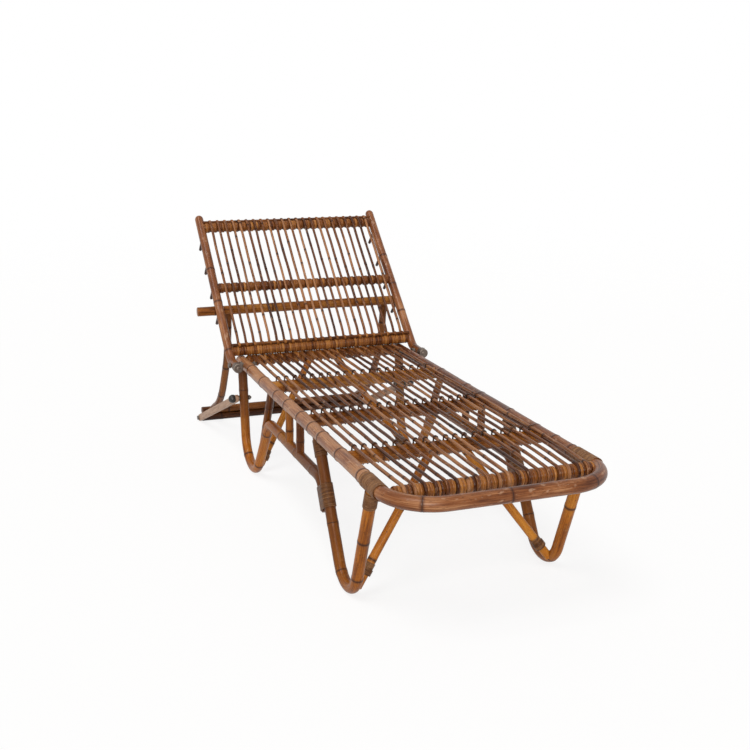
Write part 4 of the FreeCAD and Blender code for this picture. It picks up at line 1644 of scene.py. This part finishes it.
@dataclass
class Backrest(Assembly):
    """Hinged back: two poles, three bars, slats, pegs and the caps on the poles' front ends."""

    angle: float = math.radians(42.84)
    station: float = 1295.0
    height: float = 330.0
    half: float = 311.0
    pole_radius: float = 14.0
    crown: float = 598.0
    bend: float = 60.0
    front_end: float = 1215.0
    hinge_z: float = 338.0
    bar_radius: float = 14.0
    bars: dict[Bar, float] = field(
        default_factory=lambda: {Bar.TOP: 559.0, Bar.MIDDLE: 302.0, Bar.LOWER: 61.0}
    )
    tuck: float = 6.0
    row: Slatting = field(default_factory=lambda: Slatting(
        23, 25.4, (math.radians(8), math.radians(160)), seed=87, dip=(10.5, 0.0), stray=1.2,
    ))
    low_drop: float = 10.2
    low_radius: float = 13.5
    low_turns: int = 72
    battens: dict[Bar, tuple[float, float]] = field(
        default_factory=lambda: {Bar.LOWER: (0.6, -18.4), Bar.TOP: (17.0, -9.5)}
    )
    batten_radius: float = 4.6
    peg_radius: float = 5.0
    peg_reach: float = 74.0
    peg_first: float = 212.4
    peg_pitch: float = 104.0
    peg_count: int = 4
    bar_knots: float = 170.0
    pole_knots: float = 150.0
    pole_seed: int = 71
    cap_outline: tuple[tuple[float, float], ...] = (
        (19.0, 14.3), (19.0, 15.2), (0.0, 15.2), (-1.6, 15.0), (-2.6, 14.2), (-3.0, 13.0),
        (-3.0, 10.6), (-2.3, 10.0), (-2.3, 6.6), (-3.4, 6.0), (-4.2, 4.4), (-4.5, 2.0), (-4.5, 0.5),
    )
    body = Body.BACK

    def place(self, x: float, along: float, behind: float) -> np.ndarray:
        """Finds a point of the back.

        Args:
            x: Place across the chaise.
            along: Distance up the poles.
            behind: Distance square behind them.

        Returns:
            The point, in metres.
        """
        cosine, sine = math.cos(self.angle), math.sin(self.angle)
        station = self.station + along * cosine + behind * sine
        return at(x, station, self.height + along * sine - behind * cosine)

    def build(self) -> None:
        """Makes the poles with their pegs and caps, then the bars with their canes."""
        for side in Side:
            self.upright(side)
        reach = self.half - self.tuck
        for bar, along in self.bars.items():
            rounds = [(self.bar_radius, 0.0, 0.0)]
            if bar is Bar.LOWER:
                rounds = [(self.low_radius, -self.low_drop, 0.0)]
            if bar in self.battens:
                rounds.append((self.batten_radius, *self.battens[bar]))
            knots = knots_along(2 * reach, self.bar_knots, int(along))
            strands = []
            for radius, above, behind in rounds:
                ends = [self.place(sign * reach, along + above, behind) for sign in (-1, 1)]
                strands.append(Strand(np.array(ends), radius, knots))
            self.pole("back_" + bar.value + "_bar", strands, DARK)
        self.canes()

    def canes(self) -> None:
        """Makes the slats and the flat cane wound on the three bars and round the thin canes."""
        row = self.row
        forward = self.place(0, 0, -1000) - self.place(0, 0, 0)
        low = self.bars[Bar.LOWER]
        ends = [self.place(0, along, 0) for along in (low, self.bars[Bar.TOP])]
        slats = row.slats(*ends, forward, self.bar_radius, [self.bars[Bar.MIDDLE] - low])
        self.pole("back_slats", slats, CANE, Slot.SLATS, 10, row.sway, row.sway_length)
        half = self.half - self.pole_radius
        pitch = 2 * half / self.low_turns
        across = np.cross(forward, ACROSS)
        reach = self.low_radius + row.wrap_thickness / 2 + GAP
        windings = {Bar.LOWER: [
            single_turn(self.place(place, low - self.low_drop, 0), across, reach, pitch)
            for place in spread(self.low_turns, pitch)
        ]}
        for bar in (Bar.MIDDLE, Bar.TOP):
            along = self.bars[bar]
            middle = self.place(0, along, 0)
            windings[bar] = row.wrapping(middle, forward, along - low, self.bar_radius, half)
        loop = self.batten_radius + row.wrap_thickness / 2 + GAP
        for bar, (above, behind) in self.battens.items():
            along = self.bars[bar]
            for place in row.places(np.array([along - low]))[:, 0]:
                middle = self.place(place, along + above, behind)
                windings[bar].append(single_turn(middle, across, loop, pitch))
        for bar, turns in windings.items():
            node = "back_" + bar.value + "_wrapping"
            self.winding(node, turns, WOUND, Slot.WOUND, row.wrap_width, row.wrap_thickness)

    def upright(self, side: Side) -> None:
        """Makes one pole with its pegs and its steel cap.

        Args:
            side: Side of the chaise.
        """
        x = side.value * self.half
        corner = self.place(x, (self.hinge_z - self.height) / math.sin(self.angle), 0)
        front = at(x, self.front_end, self.hinge_z)
        crown = self.place(x, self.crown + self.pole_radius, 0)
        line = rounded([crown, corner, front], [self.bend])
        seed = self.pole_seed + side.value
        pole = knotted(line, self.pole_radius, self.pole_knots, seed, dome=True, step=6.0)
        # The knot nearest the crown is left out.
        pole.knots = pole.knots[1:]
        self.pole("back_pole_" + side.word, [pole], BROWN, sides=26)
        pegs = []
        for index in range(self.peg_count):
            along = self.peg_first + index * self.peg_pitch
            peg = np.array([self.place(x, along, 0), self.place(x, along, self.peg_reach)])
            pegs.append(Strand(peg, self.peg_radius, step=12.0))
        self.pole("prop_pegs_" + side.word, pegs, PEG, Slot.PEG, sides=14, sway=0.0)
        name = "pole_cap_" + side.word
        cap = turned(name + "_turned", front, ALONG, self.cap_outline, CAP_STEEL)
        self.keep(cap, Slot.CAP, name)


@dataclass
class Links(Assembly):
    """Flat bars from the rear legs to the prop's foot."""

    front: tuple[float, float] = (1316.58, 212.0)
    rear: tuple[float, float] = (1788.0, 12.5)
    front_x: float = 289.0
    rear_x: float = 312.0
    thick: float = 11.0
    half_width: float = 12.0
    soft_edge: float = 2.2
    soft_steps: int = 3
    end_points: int = 13
    body = Body.LINKS

    def build(self) -> None:
        """Makes both bars with rounded ends and worn edges."""
        tilt = math.atan2(self.front[1] - self.rear[1], self.rear[0] - self.front[0])
        # Links: sawn beech with its stain worn off, which looks dry and pale beside the rattan.
        wood = BareBeech("beech_link_bare", "#bd9c82", "#7c5335", "#331a0c", tilt)
        for side in Side:
            first = at(side.value * self.front_x, *self.front)
            last = at(side.value * self.rear_x, *self.rear)
            way = unit(last - first)
            square = unit(np.cross(way, ACROSS))
            outward = unit(np.cross(way, square))
            outward *= math.copysign(self.thick * MM, outward[0] * side.value)
            shape = bmesh.new()
            rims = []
            for shift in (0.0, 1.0):
                rim = []
                for end, turn in ((last, 0.0), (first, math.pi)):
                    for angle in np.linspace(-math.pi / 2, math.pi / 2, self.end_points) + turn:
                        spoke = way * math.cos(angle) + square * math.sin(angle)
                        spot = end + outward * shift + spoke * (self.half_width * MM)
                        rim.append(shape.verts.new(spot))
                rims.append(rim)
            count = len(rims[0])
            shape.faces.new(rims[0])
            shape.faces.new(rims[1])
            for index in range(count):
                after = (index + 1) % count
                shape.faces.new((rims[0][index], rims[0][after], rims[1][after], rims[1][index]))
            bmesh.ops.recalc_face_normals(shape, faces=shape.faces)
            sharp = math.radians(SOLID_SHARP)
            edges = [edge for edge in shape.edges if edge.calc_face_angle() > sharp]
            bmesh.ops.bevel(
                shape, geom=edges, offset=self.soft_edge * MM, segments=self.soft_steps,
                profile=0.5, affect="EDGES",
            )
            bar = meshed("prop_link_" + side.word + "_beech", shape, wood)
            self.keep(bar, Slot.LINK, "prop_link_" + side.word)


@dataclass
class Prop(Assembly):
    """Prop behind the back: bar on the pegs, two bowed uprights and two bars at the floor."""

    back: Backrest
    bar_radius: float = 15.0
    bar_along: float = 233.0
    bar_behind: float = 29.5
    bar_half: float = 356.0
    upright_radius: float = 12.0
    upright_x: float = 275.0
    upright_bends: tuple[tuple[float, float], ...] = ((1516.0, 300.0), (1628.0, 118.0))
    upright_bend: float = 260.0
    foot_radius: float = 13.0
    foot_station: float = 1788.0
    foot_sunk: float = 0.5
    foot_half: float = 311.4
    bar_knots: float = 230.0
    bar_seed: int = 3
    upright_knots: float = 140.0
    upright_seed: int = 91
    foot_knots: float = 200.0
    body = Body.PROP

    def build(self) -> None:
        """Makes the bars and the uprights."""
        ends = [
            self.back.place(sign * self.bar_half - SLIDE, self.bar_along, self.bar_behind)
            for sign in (-1, 1)
        ]
        bar = knotted(np.array(ends), self.bar_radius, self.bar_knots, self.bar_seed, edge=2.0)
        self.pole("prop_top_bar", [bar], UMBER, sides=26)
        low = self.foot_radius - self.foot_sunk
        upper = low + 2 * self.foot_radius + GAP
        for node, height in (("prop_foot_bar", low), ("prop_upper_foot_bar", upper)):
            line = crosswise(self.foot_half, self.foot_station, height)
            bar = knotted(line, self.foot_radius, self.foot_knots, int(height))
            self.pole(node, [bar], DARK, sway=0.2)
        for side in Side:
            x = side.value * self.upright_x
            top = self.back.place(x, self.bar_along, self.bar_behind)
            foot = at(x, self.foot_station, low + 2 * self.foot_radius)
            bends = [at(x, *bend) for bend in self.upright_bends]
            line = rounded([top, *bends, foot], [self.upright_bend] * 2)
            seed = self.upright_seed + side.value
            upright = knotted(line, self.upright_radius, self.upright_knots, seed)
            self.pole("prop_upright_" + side.word, [upright], DARK)


@dataclass
class Fittings:
    """Steel bolts, washers, nuts and pins and the black knobs, kept as they are in the frame."""

    steel: tuple[str, ...] = (
        "hinge_bolt_left", "hinge_bolt_right", "hinge_washers", "hinge_nuts", "link_bolt_left",
        "link_bolt_right", "link_washers", "link_nuts", "prop_pivot_pins",
    )
    knobs: tuple[str, ...] = ("link_knob_left", "link_knob_right")

    def build(self) -> None:
        """Dresses the frame's own nodes."""
        for names, finish in ((self.steel, BOLT_STEEL), (self.knobs, EBONITE)):
            for name in names:
                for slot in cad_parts[name].material_slots:
                    slot.material = finish.material()
                LOG.info("%s kept in %s", name, finish.name)


@dataclass(frozen=True)
class Lamp:
    """One broad lamp far away, so that its light is even and its shadows are soft.

    Attributes:
        name: Name of the lamp.
        way: Direction of its light.
        power: Strength, in watts per square metre.
        width: Its width as an angle, in degrees.
    """

    name: str
    way: tuple[float, float, float]
    power: float
    width: float

    def build(self) -> None:
        """Hangs the lamp."""
        light = bpy.data.lights.new(self.name, "SUN")
        light.energy = self.power
        light.angle = math.radians(self.width)
        lamp = bpy.data.objects.new(self.name, light)
        lamp.rotation_euler = Vector(self.way).to_track_quat("-Z", "Y").to_euler()
        bpy.context.scene.collection.objects.link(lamp)


@dataclass
class Studio:
    """White floor, soft light and the camera at the picture's viewing angle."""

    focal: float = 1086.0
    frame_size: float = 750.0
    sensor: float = 36.0
    eye: tuple[float, float, float] = (-1.0568, -2.8555, 1.1864)
    yaw: float = 0.36624511
    pitch: float = 0.26037642
    roll: float = -0.01111317
    world_light: float = 0.36
    lamps: tuple[Lamp, ...] = (
        Lamp("front_lamp", (0.3, 0.9, -0.36), 1.55, 26.0),
        Lamp("top_lamp", (0.42, 0.2, -1.0), 1.15, 30.0),
    )
    white: str = "#ffffff"
    floor_half: float = 9.0
    floor_paper: str = "#e6e5e4"
    floor_shade: str = "#7d7c7b"
    floor_glow: float = 0.815
    floor_fade: tuple[float, float] = (2.2, 7.0)

    def build(self) -> None:
        """Sets up the camera, the world, the lamps and the floor."""
        bpy.context.scene.view_settings.view_transform = "Standard"
        self.camera()
        self.world()
        for lamp in self.lamps:
            lamp.build()
        self.floor()

    def camera(self) -> None:
        """Places the camera that the picture was taken from."""
        flat = math.cos(self.pitch)
        turn = (math.sin(self.yaw) * flat, math.cos(self.yaw) * flat)
        forward = Vector((*turn, -math.sin(self.pitch)))
        level = Vector((math.cos(self.yaw), -math.sin(self.yaw), 0.0))
        down = forward.cross(level)
        right = level * math.cos(self.roll) + down * math.sin(self.roll)
        low = down * math.cos(self.roll) - level * math.sin(self.roll)
        lens = bpy.data.cameras.new("camera")
        lens.sensor_width = self.sensor
        lens.lens = self.focal / self.frame_size * self.sensor
        view = bpy.data.objects.new("camera", lens)
        axes = Matrix((right, -low, -forward)).transposed().to_4x4()
        view.matrix_world = Matrix.Translation(self.eye) @ axes
        bpy.context.scene.collection.objects.link(view)
        bpy.context.scene.camera = view

    def seen(self, tree: bpy.types.NodeTree) -> bpy.types.Node:
        """Tells rays that show the background, straight, mirrored or through glass, from others.

        Args:
            tree: Node tree that gets the nodes.

        Returns:
            Node that is one for those rays and zero for light.
        """
        path = add(tree, "ShaderNodeLightPath").outputs
        inputs = {0: path["Is Camera Ray"], 1: path["Is Glossy Ray"]}
        either = add(tree, "ShaderNodeMath", inputs, operation="MAXIMUM")
        inputs = {0: either, 1: path["Is Transmission Ray"]}
        return add(tree, "ShaderNodeMath", inputs, operation="MAXIMUM")

    def world(self) -> None:
        """Lights the room evenly and shows it white."""
        world = bpy.data.worlds.new("white_room")
        world.use_nodes = True
        tree = world.node_tree
        tree.nodes.clear()
        light, shown = (
            add(tree, "ShaderNodeBackground", {"Color": linear(self.white), "Strength": strength})
            for strength in (self.world_light, 1.0)
        )
        mixed = add(tree, "ShaderNodeMixShader", {0: self.seen(tree), 1: light, 2: shown})
        add(tree, "ShaderNodeOutputWorld", {0: mixed})
        bpy.context.scene.world = world

    def floor(self) -> None:
        """Lays a white floor that keeps the shadow and fades out far away."""
        half = self.floor_half
        corners = [(-half, -half, 0), (half, -half, 0), (half, half, 0), (-half, half, 0)]
        mesh = bpy.data.meshes.new("studio_floor")
        mesh.from_pydata(corners, [], [(0, 1, 2, 3)])
        floor = bpy.data.objects.new("studio_floor", mesh)
        bpy.context.scene.collection.objects.link(floor)
        material = bpy.data.materials.new("white_paper_floor")
        material.use_nodes = True
        tree = material.node_tree
        tree.nodes.clear()
        paper, shade = (
            add(tree, "ShaderNodeBsdfDiffuse", {"Color": linear(colour)})
            for colour in (self.floor_paper, self.floor_shade)
        )
        inputs = {"Color": linear(self.white), "Strength": self.floor_glow}
        glow = add(tree, "ShaderNodeEmission", inputs)
        lit = add(tree, "ShaderNodeAddShader", {0: shade, 1: glow})
        shown = add(tree, "ShaderNodeMixShader", {0: self.seen(tree), 1: paper, 2: lit})
        place = add(tree, "ShaderNodeTexCoord").outputs["Object"]
        away = add(tree, "ShaderNodeVectorMath", {0: place}, operation="LENGTH").outputs["Value"]
        near, far = self.floor_fade
        ends = {"Value": away, 1: near, 2: far, 3: 0.0, 4: 1.0}
        fade = add(tree, "ShaderNodeMapRange", ends, interpolation_type=Blend.SOFT.value)
        clear = add(tree, "ShaderNodeBsdfTransparent")
        surface = add(tree, "ShaderNodeMixShader", {0: fade, 1: shown, 2: clear})
        add(tree, "ShaderNodeOutputMaterial", {0: surface})
        mesh.materials.append(material)


def main() -> None:
    """Builds the chaise in order, from its seat frame to the studio."""
    logging.basicConfig(level=logging.INFO, format="%(message)s")
    seat = SeatFrame()
    legs = Legs(seat)
    back = Backrest()
    parts = [
        seat, SeatCanes(seat), legs, Bindings(legs), back, Links(), Prop(back),
        Fittings(), Studio(),
    ]
    for part in parts:
        part.build()
        LOG.info("%s done", type(part).__name__)


if __name__ == "__main__":
    main()
